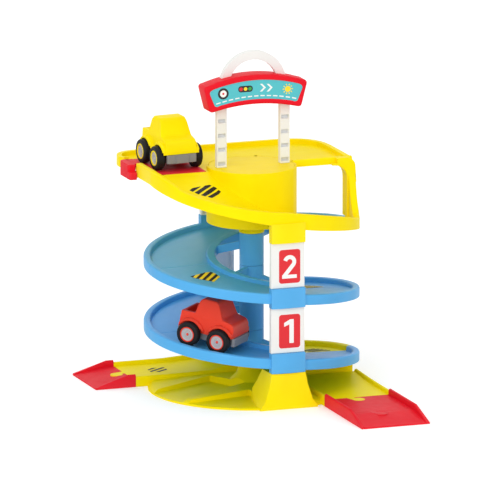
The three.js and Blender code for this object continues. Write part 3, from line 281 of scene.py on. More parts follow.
YELLOW = plastic("yellow_plastic", 0xFFE604, roughness=0.4, specular=0.05)
BLUE = plastic("blue_plastic", 0x55AEE8, roughness=0.36, specular=0.2)
RED = plastic("red_plastic", 0xE81C2C, roughness=0.42, specular=0.05)
CAR_RED = plastic("car_red_plastic", 0xE63E28, roughness=0.36, specular=0.2)
WHITE = plastic("white_plastic", 0xEDEEEA, roughness=0.5, mottle=0.02)
GREY = plastic("grey_plastic", 0x838488)
HUB_GREY = plastic("hub_grey_plastic", 0xB4B5B8, roughness=0.4)
TYRE = plastic("tyre_black", 0x1E1E20, roughness=0.5, grain=0.12, mottle=0.12)
STEEL = plastic("axle_steel", 0xB9BCC0, roughness=0.28, metallic=1.0, specular=0.5)
TEAL = plastic("sign_face_teal", 0x50BFC9, roughness=0.4, mottle=0.03)
INK = plastic("print_black", 0x161618, roughness=0.5, mottle=0.1)
PRINT_WHITE = plastic("print_white", 0xF2F3F0, mottle=0.015)
PRINT_RED = plastic("print_red", 0xDF1926, mottle=0.03)
PRINT_YELLOW = plastic("print_yellow", 0xFFDC1E, mottle=0.03)
PRINT_GREEN = plastic("print_green", 0x2F9E45, mottle=0.03)
WINDOW = plastic("window_grey", 0xD9DADD, roughness=0.5, mottle=0.03)

SLOTS = {
    "yellow_plastic": YELLOW, "blue_plastic": BLUE, "red_plastic": RED, "white_plastic": WHITE,
    "grey_plastic": GREY, "black_tyre": TYRE, "axle_steel": STEEL,
}


# Outlines and solids, in millimetres
def arc(centre, radius, start, end, count):
    turn = [math.radians(start + (end - start) * i / count) for i in range(count + 1)]
    return [(centre[0] + radius * math.cos(a), centre[1] + radius * math.sin(a)) for a in turn]


def loft(bm, rings, closed=False):
    """Quads between rings of points, with a cap at each end unless the rings close on themselves."""
    made = [[bm.verts.new(p) for p in ring] for ring in rings]
    count = len(rings[0])
    spans = len(made) if closed else len(made) - 1
    for i in range(spans):
        here, there = made[i], made[(i + 1) % len(made)]
        for j in range(count):
            k = (j + 1) % count
            bm.faces.new((here[j], here[k], there[k], there[j]))
    if not closed:
        bm.faces.new(made[0])
        bm.faces.new(reversed(made[-1]))


def lathe(bm, profile, segments):
    """Turns a closed outline of (radius, height) about Z."""
    rings = []
    for i in range(segments):
        a = 2 * math.pi * i / segments
        rings.append([(r * math.cos(a), r * math.sin(a), z) for r, z in profile])
    loft(bm, rings, closed=True)


def prism(bm, outline, low, high, spot):
    """An outline of (u, v) between two depths. The function spot turns (u, v, depth) into a point."""
    loft(bm, [[spot(u, v, w) for u, v in outline] for w in (low, high)])


def to_metres(bm):
    bmesh.ops.scale(bm, vec=(MM, MM, MM), verts=bm.verts)
    bmesh.ops.recalc_face_normals(bm, faces=bm.faces)


def object_from(name, bm, material):
    mesh = bpy.data.meshes.new(name)
    bm.to_mesh(mesh)
    bm.free()
    mesh.materials.append(material)
    made = bpy.data.objects.new(name, mesh)
    bpy.context.scene.collection.objects.link(made)
    return made


def put(piece, body, slot, *nodes):
    """Sets a piece on its body and hides the nodes that it stands for. The slot is not used."""
    if nodes:
        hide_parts(*nodes)
    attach(piece, body)


# Soft edges: sharp edges get a bevel, narrower where a face has little room for it
SHARP_ANGLE = math.radians(32)
STRAIGHT_COSINE = 0.9
ROOM_SHARE = 0.42
EDGE_SEGMENTS = 2
NORMAL_WEIGHT = 80
TINY = 1e-18


def smooth(piece, angle=SHARP_ANGLE):
    piece.data.polygons.foreach_set("use_smooth", [True] * len(piece.data.polygons))
    piece.data.set_sharp_from_angle(angle=angle)


def point_gaps(points, starts, ends):
    """Distances from every point to every segment."""
    span = ends - starts
    size = np.maximum((span ** 2).sum(1), TINY)
    along = ((points[:, None] - starts[None]) * span[None]).sum(2) / size
    nearest = starts[None] + np.clip(along, 0, 1)[:, :, None] * span[None]
    return np.linalg.norm(points[:, None] - nearest, axis=2)


def face_rooms(face):
    """How far each edge of a face lies from the edges that it doesn't meet."""
    starts = np.array([loop.vert.co for loop in face.loops])
    gaps = point_gaps(starts, starts, np.roll(starts, -1, 0))
    gaps = np.minimum(gaps, np.roll(gaps, -1, 0))
    gaps = np.minimum(gaps, gaps.T)
    count = len(starts)
    for i in range(count):
        gaps[i, [i - 1, i, (i + 1) % count]] = np.inf
    return zip([loop.edge for loop in face.loops], gaps.min(1))


def edge_room(edge):
    """The room that an edge has for a bevel, by its length and the short edges that meet it."""
    room = edge.calc_length()
    along = (edge.verts[1].co - edge.verts[0].co).normalized()
    for face in edge.link_faces:
        for other in face.edges:
            if other is edge or not set(other.verts) & set(edge.verts):
                continue
            span = other.verts[1].co - other.verts[0].co
            if abs(along.dot(span.normalized())) < STRAIGHT_COSINE:
                room = min(room, span.length)
    return room


def weigh_edges(bm, width, angle):
    """Marks the sharp edges for the bevel with the share of its width that they have room for."""
    bm.normal_update()
    layer = bm.edges.layers.float.new("bevel_weight_edge")
    rooms = {}
    for face in bm.faces:
        if len(face.verts) > 4:
            for edge, gap in face_rooms(face):
                rooms[edge] = min(gap, rooms.get(edge, gap))
    for edge in bm.edges:
        if len(edge.link_faces) == 2 and edge.calc_face_angle(0) > angle:
            room = min(edge_room(edge), rooms.get(edge, math.inf))
            edge[layer] = min(1, room * ROOM_SHARE / (width * MM))


def soft_piece(name, bm, paint, width, segments, angle=SHARP_ANGLE):
    """A piece with its sharp edges rounded, shaded smooth between its flats."""
    if width:
        weigh_edges(bm, width, angle)
    piece = object_from(name, bm, paint)
    if width:
        soft = piece.modifiers.new("soft_edges", "BEVEL")
        soft.width = width * MM
        soft.segments = segments
        soft.limit_method = "WEIGHT"
        soft.use_clamp_overlap = False
        soft.miter_outer = "MITER_ARC"
    bpy.context.view_layer.update()
    shown = piece.evaluated_get(bpy.context.evaluated_depsgraph_get())
    mesh = bpy.data.meshes.new_from_object(shown)
    piece.modifiers.clear()
    piece.data = mesh
    smooth(piece)
    even = piece.modifiers.new("even_normals", "WEIGHTED_NORMAL")
    even.keep_sharp = True
    even.weight = NORMAL_WEIGHT
    return piece


# Finer arcs: the coarse chords that run round the spiral's axis
WELD = 0.002
FLAT_ANGLE = math.radians(0.5)
JOIN_ANGLE = math.radians(14)
ARC_LEAST = 14
ARC_MATCH = 0.06
ARC_COARSE = math.radians(5)
ARC_CUTS = 3


def refine_arcs(bm):
    """Cuts the coarse chords, and lifts the new points onto the arc."""
    bmesh.ops.join_triangles(
        bm, faces=[f for f in bm.faces if len(f.verts) == 3], angle_face_threshold=JOIN_ANGLE,
        angle_shape_threshold=math.pi, cmp_seam=False, cmp_sharp=False, cmp_uvs=False,
        cmp_vcols=False, cmp_materials=False,
    )
    layer = bm.verts.layers.float.new("arc_radius")
    for vert in bm.verts:
        vert[layer] = math.hypot(vert.co.x, vert.co.y)
    chords = []
    for edge in bm.edges:
        a, b = edge.verts
        r = a[layer]
        if r < ARC_LEAST * MM or abs(r - b[layer]) > ARC_MATCH * MM:
            continue
        chord = math.hypot(a.co.x - b.co.x, a.co.y - b.co.y)
        if 2 * math.asin(min(1, chord / (2 * r))) > ARC_COARSE:
            chords.append(edge)
    old = set(bm.verts)
    bmesh.ops.subdivide_edges(bm, edges=chords, cuts=ARC_CUTS, use_grid_fill=True)
    for vert in bm.verts:
        now = math.hypot(vert.co.x, vert.co.y)
        if vert not in old and now > 0:
            vert.co.x *= vert[layer] / now
            vert.co.y *= vert[layer] / now
    bm.verts.layers.float.remove(layer)


# Softened copies of the CAD nodes: slot, edge width, and whether arcs are made finer
SKINS = {
    "base": ("yellow_plastic", 0.5, True),
    "top_deck": ("yellow_plastic", 0.5, True),
    "road_half_1": ("blue_plastic", 0.5, True),
    "road_half_2": ("blue_plastic", 0.5, True),
    "road_half_3": ("blue_plastic", 0.5, True),
    "road_half_4": ("blue_plastic", 0.5, True),
    "front_panel_1": ("white_plastic", 0.5, False),
    "front_panel_2": ("white_plastic", 0.5, False),
    "back_panel_1": ("white_plastic", 0.5, False),
    "back_panel_2": ("white_plastic", 0.5, False),
    "back_panel_3": ("white_plastic", 0.5, False),
    "left_ramp": ("red_plastic", 0.4, False),
    "front_link": ("red_plastic", 0.4, False),
    "front_ramp": ("red_plastic", 0.4, False),
    "launch_plate": ("red_plastic", 0.3, False),
    "launch_lever": ("red_plastic", 0.8, False),
    "lift_platform": ("yellow_plastic", 0.4, True),
    "lift_frame": ("white_plastic", 0.6, False),
}


def dress(node, slot, width, segments=EDGE_SEGMENTS, arcs=False, paint=None):
    """A softened copy of a CAD node, which stands for it."""
    bm = bmesh.new()
    bm.from_mesh(frame["nodes"][node].data)
    bmesh.ops.remove_doubles(bm, verts=bm.verts, dist=WELD * MM)
    bmesh.ops.dissolve_limit(bm, angle_limit=FLAT_ANGLE, verts=bm.verts, edges=bm.edges)
    if arcs:
        refine_arcs(bm)
    piece = soft_piece(node + "_skin", bm, paint or SLOTS[slot], width, segments)
    put(piece, BODY_OF[node], slot, node)
    return piece


dressed = {node: dress(node, slot, width, arcs=arcs) for node, (slot, width, arcs) in SKINS.items()}

# The deck's right corner, where the front rim runs on into the leg
CORNER_RIGHT = 152.4
CORNER_FOOT = 154
CORNER_TOP = 322
CORNER_ROUND = 13
CORNER_FILLET = 20.3
CORNER_FILLET_CENTRE = (120, 291.8)
CORNER_FILLET_TURN = 72
CORNER_STEPS = 10
CORNER_LAP = 2
CORNER_DROP = 6
CORNER_FRONT = -9.3
CORNER_BACK = 7.6
CORNER_SHARP = math.radians(50)
CORNER_SOFT = 1.6
CORNER_SEGMENTS = 4


def deck_corner():
    inner = arc(CORNER_FILLET_CENTRE, CORNER_FILLET, 0, CORNER_FILLET_TURN, CORNER_STEPS)
    middle_of_round = (CORNER_RIGHT - CORNER_ROUND, CORNER_TOP - CORNER_ROUND)
    outer = arc(middle_of_round, CORNER_ROUND, 0, 90, CORNER_STEPS)
    low = inner[0][1] - CORNER_DROP
    outline = [(inner[0][0], low), (CORNER_FOOT, low), *outer]
    outline += [(inner[-1][0] - CORNER_LAP, CORNER_TOP), *reversed(inner)]
    bm = bmesh.new()
    prism(bm, outline, CORNER_FRONT, CORNER_BACK, lambda u, v, w: (u, w, v))
    to_metres(bm)
    piece = soft_piece("deck_corner", bm, YELLOW, CORNER_SOFT, CORNER_SEGMENTS, CORNER_SHARP)
    put(piece, BODY_OF["top_deck"], "yellow_plastic")


deck_corner()

# Wheels: a black tread, a painted ring, a grey dish with a bead, and a dot in the middle
WHEEL_SEGMENTS = 48
WHEEL_RADIUS = 17
TYRE_WIDTH = 11.5
TYRE_BORE = 11
SHOULDER = 2.6
SHOULDER_STEPS = 8
LIP = 0.6
LIP_STEPS = 4
FIT = 0.3
RIM_INSET = 1.5
RIM_PROUD = 0.2
DISH = 9.2
DISH_DEPTH = 1.6
DISH_EDGE = 1
DISH_EDGE_RISE = 0.6
BEAD = 4.8
BEAD_ROUND = 0.9
BEAD_STEPS = 6
BEAD_FOOT = 1.4
BEAD_SINK = 0.2
DOT = 1.9
DOT_ROUND = 0.8
DOT_RISE = 0.2
DOT_SINK = 1


def middle(node):
    low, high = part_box(node)
    return (Vector(low) + Vector(high)) / 2


def wheel_frame(tyre, joint):
    """Puts Z along the axle, away from the car."""
    centre = middle(tyre)
    out = Vector(joint["axis"]).normalized()
    if (centre - Vector(joint["pos_m"])).dot(out) < 0:
        out = -out
    turn = Vector((0, 0, 1)).rotation_difference(out).to_matrix().to_4x4()
    return Matrix.Translation(centre) @ turn


def tread_profile(half):
    shoulder = WHEEL_RADIUS - SHOULDER
    lip = arc((TYRE_BORE + LIP, half - LIP), LIP, 180, 90, LIP_STEPS)
    outside = arc((shoulder, half - SHOULDER), SHOULDER, 90, 0, SHOULDER_STEPS)
    inside = arc((shoulder, SHOULDER - half), SHOULDER, 0, -90, SHOULDER_STEPS)
    return [(TYRE_BORE, -half), *lip, *outside, *inside]


def rim_profile(half):
    bore = TYRE_BORE - FIT / 2
    back = RIM_INSET - half
    crest = half + RIM_PROUD - LIP
    outside = arc((bore - LIP, crest), LIP, 0, 90, LIP_STEPS)
    inside = arc((DISH + LIP, crest), LIP, 90, 180, LIP_STEPS)
    return [(DISH, back), (bore, back), *outside, *inside]


def dish_profile(half):
    back = RIM_INSET - half
    floor = half - DISH_DEPTH
    low = floor - BEAD_SINK
    rim = [(DISH + FIT, back), (DISH + FIT, floor + DISH_EDGE_RISE), (DISH - DISH_EDGE, floor)]
    bead = arc((BEAD, low), BEAD_ROUND, 0, 180, BEAD_STEPS)
    return [(0, back), *rim, (BEAD + BEAD_ROUND, low), *bead, (BEAD - BEAD_FOOT, low), (0, low)]


def dot_profile(half):
    floor = half - DISH_DEPTH
    crown = arc((DOT - DOT_ROUND, floor + DOT_RISE), DOT_ROUND, 0, 90, LIP_STEPS)
    return [(0, floor - DOT_SINK), (DOT, floor - DOT_SINK), *crown, (0, floor + DOT_RISE + DOT_ROUND)]


def wheel(car, end, hand, paint, dot_paint):
    name = f"{car}_{end}_{hand}"
    place = wheel_frame(name + "_tyre", JOINTS[f"{car}_{end}_wheel_spin"])
    parts = (
        ("tread", tread_profile, TYRE, "black_tyre", [name + "_tyre"]),
        ("rim", rim_profile, paint, "grey_plastic", []),
        ("dish", dish_profile, HUB_GREY, "grey_plastic", [name + "_hub"]),
        ("boss", dot_profile, dot_paint, "grey_plastic", []),
    )
    for part, profile, material, slot, nodes in parts:
        bm = bmesh.new()
        lathe(bm, profile(TYRE_WIDTH / 2), WHEEL_SEGMENTS)
        to_metres(bm)
        bmesh.ops.transform(bm, matrix=place, verts=bm.verts)
        piece = object_from(f"{name}_{part}", bm, material)
        smooth(piece)
        put(piece, f"{car}_{end}_wheels", slot, *nodes)


# Rolled lips of the fenders over the wheels
FENDER_INNER = 18.3
FENDER_OUTER = 21.3
FENDER_PROUD = 1
FENDER_ROOT = 1
FENDER_START = 32
FENDER_STEPS = 24
FENDER_SOFT = 0.9
FENDER_SEGMENTS = 3


def car_axes(car):
    """Unit vectors forward, along the axles and up."""
    forward = (middle(car + "_front_axle") - middle(car + "_rear_axle")).normalized()
    side = Vector(JOINTS[car + "_front_wheel_spin"]["axis"]).normalized()
    up = side.cross(forward)
    if up.z < 0:
        up.negate()
    return forward, side, up


def fender(car, end, hand, paint, slot):
    forward, side, up = car_axes(car)
    centre = middle(f"{car}_{end}_{hand}_tyre")
    if (centre - middle(car + "_body")).dot(side) < 0:
        side = -side
    spots = [v.co for v in frame["nodes"][car + "_body"].data.vertices]
    reach = max((p - centre).dot(side) for p in spots) / MM
    root, face = reach - FENDER_ROOT, reach + FENDER_PROUD
    section = ((FENDER_INNER, root), (FENDER_OUTER, root), (FENDER_OUTER, face), (FENDER_INNER, face))
    rings = []
    for u, v in arc((0, 0), 1, FENDER_START, 180 - FENDER_START, FENDER_STEPS):
        ray = forward * u + up * v
        rings.append([centre / MM + ray * r + side * s for r, s in section])
    bm = bmesh.new()
    loft(bm, rings)
    to_metres(bm)
    piece = soft_piece(f"{car}_{end}_{hand}_fender", bm, paint, FENDER_SOFT, FENDER_SEGMENTS)
    put(piece, BODY_OF[car + "_body"], slot)


# Stepped middle of the front bumper
NOSE_DEPTH = 3
BUMPER_HALF = 11
BUMPER_STEP = 1.5
BUMPER_CUT = 1.5
BUMPER_ROOT = 1
BUMPER_LIP = 0.4
BUMPER_SOFT = 0.5
BUMPER_SEGMENTS = 3


def bumper(car):
    forward, side, up = car_axes(car)
    spots = [v.co for v in frame["nodes"][car + "_chassis"].data.vertices]
    front = max(p.dot(forward) for p in spots)
    nose = [p.dot(up) / MM for p in spots if p.dot(forward) > front - NOSE_DEPTH * MM]
    front /= MM
    across = middle(car + "_chassis").dot(side) / MM
    tip = BUMPER_HALF - BUMPER_CUT
    outline = [
        (-BUMPER_HALF, front - BUMPER_ROOT), (BUMPER_HALF, front - BUMPER_ROOT),
        (tip, front + BUMPER_STEP), (-tip, front + BUMPER_STEP),
    ]
    bm = bmesh.new()
    prism(
        bm, outline, min(nose), max(nose) - BUMPER_LIP,
        lambda u, v, w: side * (across + u) + forward * v + up * w,
    )
    to_metres(bm)
    piece = soft_piece(car + "_bumper", bm, GREY, BUMPER_SOFT, BUMPER_SEGMENTS)
    put(piece, BODY_OF[car + "_chassis"], "grey_plastic")


# Cars: paint, its slot, and the colour of the wheels' dots
CAR_EDGE = 2.2
CAR_EDGE_SEGMENTS = 4
CHASSIS_EDGE = 0.5
CARS = {
    "yellow_car": (YELLOW, "yellow_plastic", HUB_GREY),
    "red_car": (CAR_RED, "red_plastic", CAR_RED),
}
ENDS = ("front", "rear")
HANDS = ("left", "right")

for car, (paint, paint_slot, dot_paint) in CARS.items():
    dress(car + "_body", paint_slot, CAR_EDGE, CAR_EDGE_SEGMENTS, paint=paint)
    dress(car + "_chassis", "grey_plastic", CHASSIS_EDGE)
    for end in ENDS:
        dress(f"{car}_{end}_axle", "axle_steel", 0)
        for hand in HANDS:
            wheel(car, end, hand, paint, dot_paint)
for car, (paint, paint_slot, _) in CARS.items():
    for end in ENDS:
        for hand in HANDS:
            fender(car, end, hand, paint, paint_slot)
bumper("yellow_car")

# Printed hatches on the roads: bands in pairs, cut into strips of which the first ones of a pair are inked
DECAL_RISE = 0.2
BAND = 4.65
BAND_CUTS = 3
DRAPE = 1.5
EVEN_CUTS = 3
WIDE_CUTS = 4
UPPER_PATCH = [
    (-110, -49.8), (-103.1, -41.9), (-83.9, -35), (-73.6, -31.7), (-68.4, -36.1), (-62.6, -47.5),
    (-71.5, -59.6), (-84.1, -71.2), (-95.3, -64.9), (-103.3, -59.6),
]
ROAD_PATCH = [
    (-106.2, -41.5), (-80.1, -29.4), (-70.2, -28), (-66.4, -34.2), (-63.6, -45.7), (-80.3, -67),
    (-87.4, -61.1), (-96.9, -54), (-101.6, -49.8),
]
SIDE_PATCH = [(111, 6), (80, 5), (77, 20), (72, 36), (98, 50), (108, 28)]
TRACK_PATCH = [(122, 7), (93, 6), (91, 20), (86, 37), (111, 48), (118, 28)]
ARM_PATCH = [(-116, 96), (-98, 93), (-89, 104), (-89, 119), (-106, 121), (-116, 112)]

# Name, node, patch, heading of the bands in degrees, inks, a height clear above the road, inked strips
HATCHES = (
    ("hatch_upper_road", "top_deck", UPPER_PATCH, 44, [INK], 316, WIDE_CUTS),
    ("hatch_road_half_2", "road_half_2", ROAD_PATCH, 52, [INK, PRINT_YELLOW], 186, EVEN_CUTS),
    ("hatch_road_half_3", "road_half_3", SIDE_PATCH, 20, [INK, PRINT_YELLOW], 146, EVEN_CUTS),
    ("hatch_base_track", "base", TRACK_PATCH, 25, [INK], 60, EVEN_CUTS),
    ("hatch_left_arm", "base", ARM_PATCH, 35, [INK], 30, EVEN_CUTS),
)


def surface_of(node):
    mesh = dressed[node].data
    return BVHTree.FromPolygons([v.co[:] for v in mesh.vertices], [p.vertices[:] for p in mesh.polygons])


def slice_across(bm, normal, start, step, count):
    """Cuts a flat mesh by planes at even steps along a normal."""
    for i in range(count):
        bmesh.ops.bisect_plane(
            bm, geom=bm.verts[:] + bm.edges[:] + bm.faces[:],
            plane_co=normal * (start + i * step), plane_no=normal,
        )


def hatch(name, node, outline, heading, inks, above, ink_cuts):
    """Diagonal bands over a patch of road, laid on the surface below them."""
    bm = bmesh.new()
    bm.faces.new([bm.verts.new((x * MM, y * MM, above * MM)) for x, y in outline])
    a = math.radians(heading)
    across = Vector((math.sin(a), -math.cos(a), 0))
    along = Vector((math.cos(a), math.sin(a), 0))
    low = min(v.co.dot(across) for v in bm.verts)
    high = max(v.co.dot(across) for v in bm.verts)
    strip = BAND / BAND_CUTS * MM
    bands = math.ceil((high - low) / (BAND * MM)) + 1
    slice_across(bm, across, low, strip, bands * BAND_CUTS)
    start = min(v.co.dot(along) for v in bm.verts)
    span = max(v.co.dot(along) for v in bm.verts) - start
    drape = DRAPE * MM
    slice_across(bm, along, start + drape, drape, int(span / drape))
    bare = []
    for face in bm.faces:
        cut = math.floor((face.calc_center_median().dot(across) - low) / strip)
        face.material_index = int(cut % (2 * BAND_CUTS) >= ink_cuts)
        if face.material_index and len(inks) < 2:
            bare.append(face)
    bmesh.ops.delete(bm, geom=bare, context="FACES")
    road = surface_of(node)
    for vert in bm.verts:
        spot = road.ray_cast(vert.co, Vector((0, 0, -1)))[0]
        vert.co = spot + Vector((0, 0, DECAL_RISE * MM))
    bmesh.ops.recalc_face_normals(bm, faces=bm.faces)
    if sum(f.normal.z for f in bm.faces) < 0:
        bmesh.ops.reverse_faces(bm, faces=bm.faces)
    piece = object_from(name, bm, inks[0])
    for ink in inks[1:]:
        piece.data.materials.append(ink)
    smooth(piece)
    put(piece, BODY_OF[node], "black_tyre")


for row in HATCHES:
    hatch(*row)

# Printed sheets on upright faces, given as outlines of (across, up)
DISC_STEPS = 28
BOX_STEPS = 6


def rounded_box(cx, cy, width, height, radius, count=BOX_STEPS):
    points = []
    for sx, sy, start in ((1, 1, 0), (-1, 1, 90), (-1, -1, 180), (1, -1, 270)):
        centre = (cx + sx * (width / 2 - radius), cy + sy * (height / 2 - radius))
        points += arc(centre, radius, start, start + 90, count)
    return points


def disc(x, z, radius):
    return arc((x, z), radius, 0, 360, DISC_STEPS)[:-1]


def stroke(points, width):
    """The outline of a thick line through points."""
    left, right = [], []
    for i, (x, y) in enumerate(points):
        before, after = points[max(0, i - 1)], points[min(len(points) - 1, i + 1)]
        dx, dy = after[0] - before[0], after[1] - before[1]
        size = math.hypot(dx, dy) * 2 / width
        left.append((x - dy / size, y + dx / size))
        right.append((x + dy / size, y - dx / size))
    return left + right[::-1]


def sized(shares, x, y, size):
    return [(x + u * size, y + v * size) for u, v in shares]


def sheet(name, outlines, face_y, rise, material, body, slot="white_plastic"):
    """Flat print standing a hair proud of a face that looks to -Y."""
    bm = bmesh.new()
    for outline in outlines:
        prism(bm, outline, 0, rise, lambda u, v, w: (u, face_y - w, v))
    to_metres(bm)
    piece = object_from(name, bm, material)
    smooth(piece)
    put(piece, body, slot)


# Sign: a bowed red tray. Its top and bottom are a half width, a height in the middle and one at the ends.
SIGN_TOP = (74.5, 449.5, 436.5)
SIGN_BOTTOM = (65, 413.5, 405)
SIGN_FRONT = 20
SIGN_BACK = 8
SIGN_ROUND = 4.5
SIGN_ROUND_STEPS = 6
SIGN_ROUND_LAP = 2
INNER_ROUND_SHARE = 0.7
SIGN_STEPS = 24
SIGN_GROW = 3
SIGN_LIP = 0.8
SIGN_WALL = 2.4
SIGN_RECESS = 0.8
SIGN_INSET = 4.4
RECESS_LIP = 0.3
RECESS_EDGE = 0.6
RECESS_PLAY = 0.2
SIGN_SHARP = math.radians(40)


def bow(x, half, centre, end):
    return centre + (end - centre) * (x / half) ** 2


def corner(before, at, after, radius, count=SIGN_ROUND_STEPS):
    """Rounds one corner of an outline."""
    at = Vector(at)
    a = (Vector(before) - at).normalized()
    b = (Vector(after) - at).normalized()
    half = a.angle(b) / 2
    centre = at + (a + b).normalized() * (radius / math.sin(half))
    first = at + a * (radius / math.tan(half)) - centre
    last = at + b * (radius / math.tan(half)) - centre
    turn = first.angle_signed(last)
    points = []
    for i in range(count + 1):
        step = -turn * i / count
        points.append((
            centre.x + first.x * math.cos(step) - first.y * math.sin(step),
            centre.y + first.x * math.sin(step) + first.y * math.cos(step),
        ))
    return points


def sign_outline(inset, radius=SIGN_ROUND):
    """The bowed sign with its four corners rounded, shrunk by an inset."""
    top, low = SIGN_TOP[0] - inset, SIGN_BOTTOM[0] - inset
    reach = SIGN_ROUND + SIGN_ROUND_LAP
    shares = [2 * i / SIGN_STEPS - 1 for i in range(SIGN_STEPS + 1)]
    upper = [((top - reach) * t, bow((top - reach) * t, *SIGN_TOP) - inset) for t in shares]
    lower = [(-(low - reach) * t, bow((low - reach) * t, *SIGN_BOTTOM) + inset) for t in shares]
    top_left, top_right = [(side * top, SIGN_TOP[2] - inset) for side in (-1, 1)]
    low_left, low_right = [(side * low, SIGN_BOTTOM[2] + inset) for side in (-1, 1)]
    points = corner(low_left, top_left, upper[0], radius) + upper
    points += corner(upper[-1], top_right, low_right, radius)
    points += corner(top_right, low_right, lower[0], radius) + lower
    return points + corner(lower[-1], low_left, top_left, radius)


def sign_frame():
    """A moulded tray: open at the back, rounded at the front, with a recess for the print."""
    lip = SIGN_FRONT - SIGN_ROUND
    inside = SIGN_WALL - SIGN_GROW
    rings = [(SIGN_FRONT - SIGN_WALL, SIGN_WALL), (lip, inside), (-SIGN_BACK, inside)]
    rings += [(-SIGN_BACK, -SIGN_GROW), (lip, -SIGN_GROW)]
    for c, s in arc((0, 0), 1, 0, 90, SIGN_ROUND_STEPS)[1:]:
        rings.append((lip + SIGN_ROUND * s, SIGN_LIP * (1 - c) - SIGN_GROW * c))
    rings += [
        (SIGN_FRONT, SIGN_INSET - RECESS_EDGE),
        (SIGN_FRONT - RECESS_LIP, SIGN_INSET - RECESS_PLAY),
        (SIGN_FRONT - SIGN_RECESS, SIGN_INSET - RECESS_PLAY),
    ]
    outlines = []
    for y, inset in rings:
        radius = SIGN_ROUND if inset < 0 else SIGN_ROUND * INNER_ROUND_SHARE
        outlines.append([(x, -y, z) for x, z in sign_outline(inset, radius)])
    bm = bmesh.new()
    loft(bm, outlines)
    to_metres(bm)
    piece = object_from("sign_frame", bm, RED)
    smooth(piece, SIGN_SHARP)
    put(piece, BODY_OF["sign_board"], "red_plastic", "sign_board")


# Print on the sign: a dashed road with a wheel, a signal, arrows and a sun
PRINT_LAYER = 0.08
DASH = 3.2
DASH_PITCH = 9.4
DASH_WIDTH = 1.6
DASHES = 6
LANE_DROP = 9
MOTIF_RISE = 2.5
WHEEL_MARK = (-49, 8)
WHEEL_SHARES = (1, 0.62, 0.2)
SIGNAL_MARK = (-16, 6)
SIGNAL_CASE_SHARES = (3.6, 1.5, 0.7)
SIGNAL_PITCH_SHARE = 1.1
SIGNAL_LIGHT_SHARE = 0.44
ARROW_MARKS = (11, 21)
ARROW_SIZE = 5.5
ARROW_SHARES = ((-1, 1), (-0.4, 1), (0.6, 0), (-0.4, -1), (-1, -1), (0, 0))
SUN_MARK = (47, 7.5)
SUN_DISC_SHARE = 0.58
SUN_RAYS = 10
RAY_SHARES = (0.72, 0.86, 1)
RAY_WIDTH = 1.5


def lane(x):
    return (bow(x, *SIGN_TOP) + bow(x, *SIGN_BOTTOM)) / 2


def dash(centre):
    across = (centre - DASH, centre, centre + DASH)
    return stroke([(x, lane(x) - LANE_DROP) for x in across], DASH_WIDTH)


def sun_ray(x, z, size, angle):
    a = math.radians(angle)
    spread = [(size * k * math.cos(a), size * k * math.sin(a)) for k in RAY_SHARES]
    return stroke([(x + u, z + v) for u, v in spread], RAY_WIDTH)


def print_sign():
    """The face and its motifs, each with its outlines, its layer above the recess and its ink."""
    wheel_x, wheel_size = WHEEL_MARK
    signal_x, signal_size = SIGNAL_MARK
    sun_x, sun_size = SUN_MARK
    wheel_z, signal_z, sun_z = (lane(x) + MOTIF_RISE for x in (wheel_x, signal_x, sun_x))
    tyre, plate, hub = (disc(wheel_x, wheel_z, wheel_size * share) for share in WHEEL_SHARES)
    case = rounded_box(signal_x, signal_z, *(signal_size * share for share in SIGNAL_CASE_SHARES))
    red, amber, green = (
        disc(signal_x + i * signal_size * SIGNAL_PITCH_SHARE, signal_z, signal_size * SIGNAL_LIGHT_SHARE)
        for i in (-1, 0, 1)
    )
    dashes = [dash(i * DASH_PITCH) for i in range(-DASHES, DASHES + 1)]
    arrows = [sized(ARROW_SHARES, x, lane(x) + MOTIF_RISE, ARROW_SIZE) for x in ARROW_MARKS]
    rays = [sun_ray(sun_x, sun_z, sun_size, i * 360 / SUN_RAYS) for i in range(SUN_RAYS)]
    sheets = {
        "face": ([sign_outline(SIGN_INSET)], 1, TEAL),
        "dashes": (dashes, 2, PRINT_WHITE),
        "wheel_tyre": ([tyre], 2, INK),
        "wheel_disc": ([plate], 3, PRINT_WHITE),
        "wheel_hub": ([hub], 4, PRINT_RED),
        "signal_case": ([case], 2, INK),
        "signal_red": ([red], 3, PRINT_RED),
        "signal_amber": ([amber], 3, PRINT_YELLOW),
        "signal_green": ([green], 3, PRINT_GREEN),
        "arrows": (arrows, 2, PRINT_WHITE),
        "sun_disc": ([disc(sun_x, sun_z, sun_size * SUN_DISC_SHARE)], 2, PRINT_YELLOW),
        "sun_rays": (rays, 2, PRINT_YELLOW),
    }
    face_y = SIGN_RECESS - SIGN_FRONT
    for name, (outlines, layer, ink) in sheets.items():
        sheet("sign_" + name, outlines, face_y, layer * PRINT_LAYER, ink, BODY_OF["sign_board"])


sign_frame()
print_sign()

# Blind windows of the lift's posts
POST_CENTRE = 1.3
POST_SPACING = 47
POST_FRONT = 4.4
WINDOW_SIZE = (10.5, 5.3)
WINDOW_ROUND = 0.6
WINDOW_STEPS = 3
WINDOW_DEPTH = 4
WINDOW_RISE = 0.2
WINDOW_HEIGHTS = (325.5, 345.7, 365.6, 386.6)


def post_windows():
    panes = [
        rounded_box(POST_CENTRE + side * POST_SPACING, z, *WINDOW_SIZE, WINDOW_ROUND, WINDOW_STEPS)
        for side in (-1, 1)
        for z in WINDOW_HEIGHTS
    ]
    sheet("post_windows", panes, WINDOW_DEPTH - POST_FRONT, WINDOW_RISE, WINDOW, BODY_OF["lift_frame"])


post_windows()

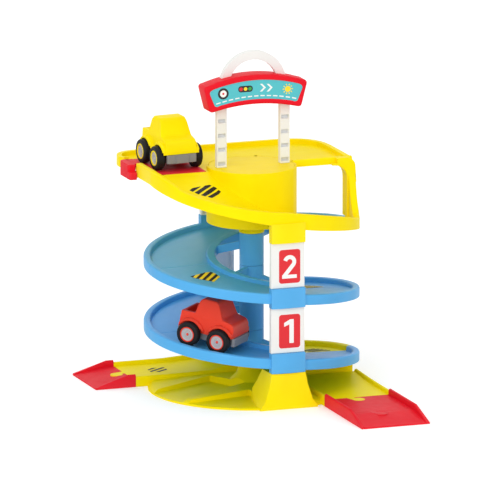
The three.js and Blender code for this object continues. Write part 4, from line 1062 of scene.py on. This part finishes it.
# Numbers on the front panels, drawn in shares of their height
PLATE_SIZE = (31.5, 48)
PLATE_CORNER = 4
PLATE_SHIFT = 2.5
NUMERAL_SIZE = 34
PRINT_THICK = 0.1
STROKE_STEP_SHARE = 0.2
ONE_SHARES = (
    (-0.01, -0.5), (0.18, -0.5), (0.18, 0.5), (0.02, 0.5), (-0.24, 0.36), (-0.24, 0.2), (-0.01, 0.29),
)
TWO_BAR_SHARES = ((-0.33, -0.5), (0.31, -0.5), (0.31, -0.35), (-0.33, -0.35))
TWO_FOOT_SHARES = (-0.24, -0.4)
TWO_HOOK_RISE_SHARE = 0.19
TWO_HOOK_SHARE = 0.2
TWO_HOOK_TURN = (165, -40)
TWO_HOOK_STEPS = 12
TWO_STROKE_SHARE = 0.17


def numeral_one(cx, cy, size):
    return [sized(ONE_SHARES, cx, cy, size)]


def numeral_two(cx, cy, size):
    centre = (cx, cy + TWO_HOOK_RISE_SHARE * size)
    hook = arc(centre, TWO_HOOK_SHARE * size, *TWO_HOOK_TURN, TWO_HOOK_STEPS)
    foot = sized([TWO_FOOT_SHARES], cx, cy, size)
    return [stroke(hook + foot, TWO_STROKE_SHARE * size), sized(TWO_BAR_SHARES, cx, cy, size)]


# Panel, height of its plate's middle, numeral
PLATES = (("front_panel_1", 112.3, numeral_one), ("front_panel_2", 204.9, numeral_two))


def number_plate(panel, cy, numeral):
    low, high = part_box(panel)
    cx = (low[0] + high[0]) / 2 / MM + PLATE_SHIFT
    face_y = low[1] / MM
    body = BODY_OF[panel]
    plate = rounded_box(cx, cy, *PLATE_SIZE, PLATE_CORNER)
    sheet("plate_" + panel, [plate], face_y, PRINT_THICK, PRINT_RED, body, "red_plastic")
    for i, outline in enumerate(numeral(cx, cy, NUMERAL_SIZE)):
        rise = PRINT_THICK * (1 + i * STROKE_STEP_SHARE)
        sheet(f"numeral_{panel}_{i}", [outline], face_y - PRINT_THICK, rise, PRINT_WHITE, body)


for row in PLATES:
    number_plate(*row)

bpy.context.view_layer.update()
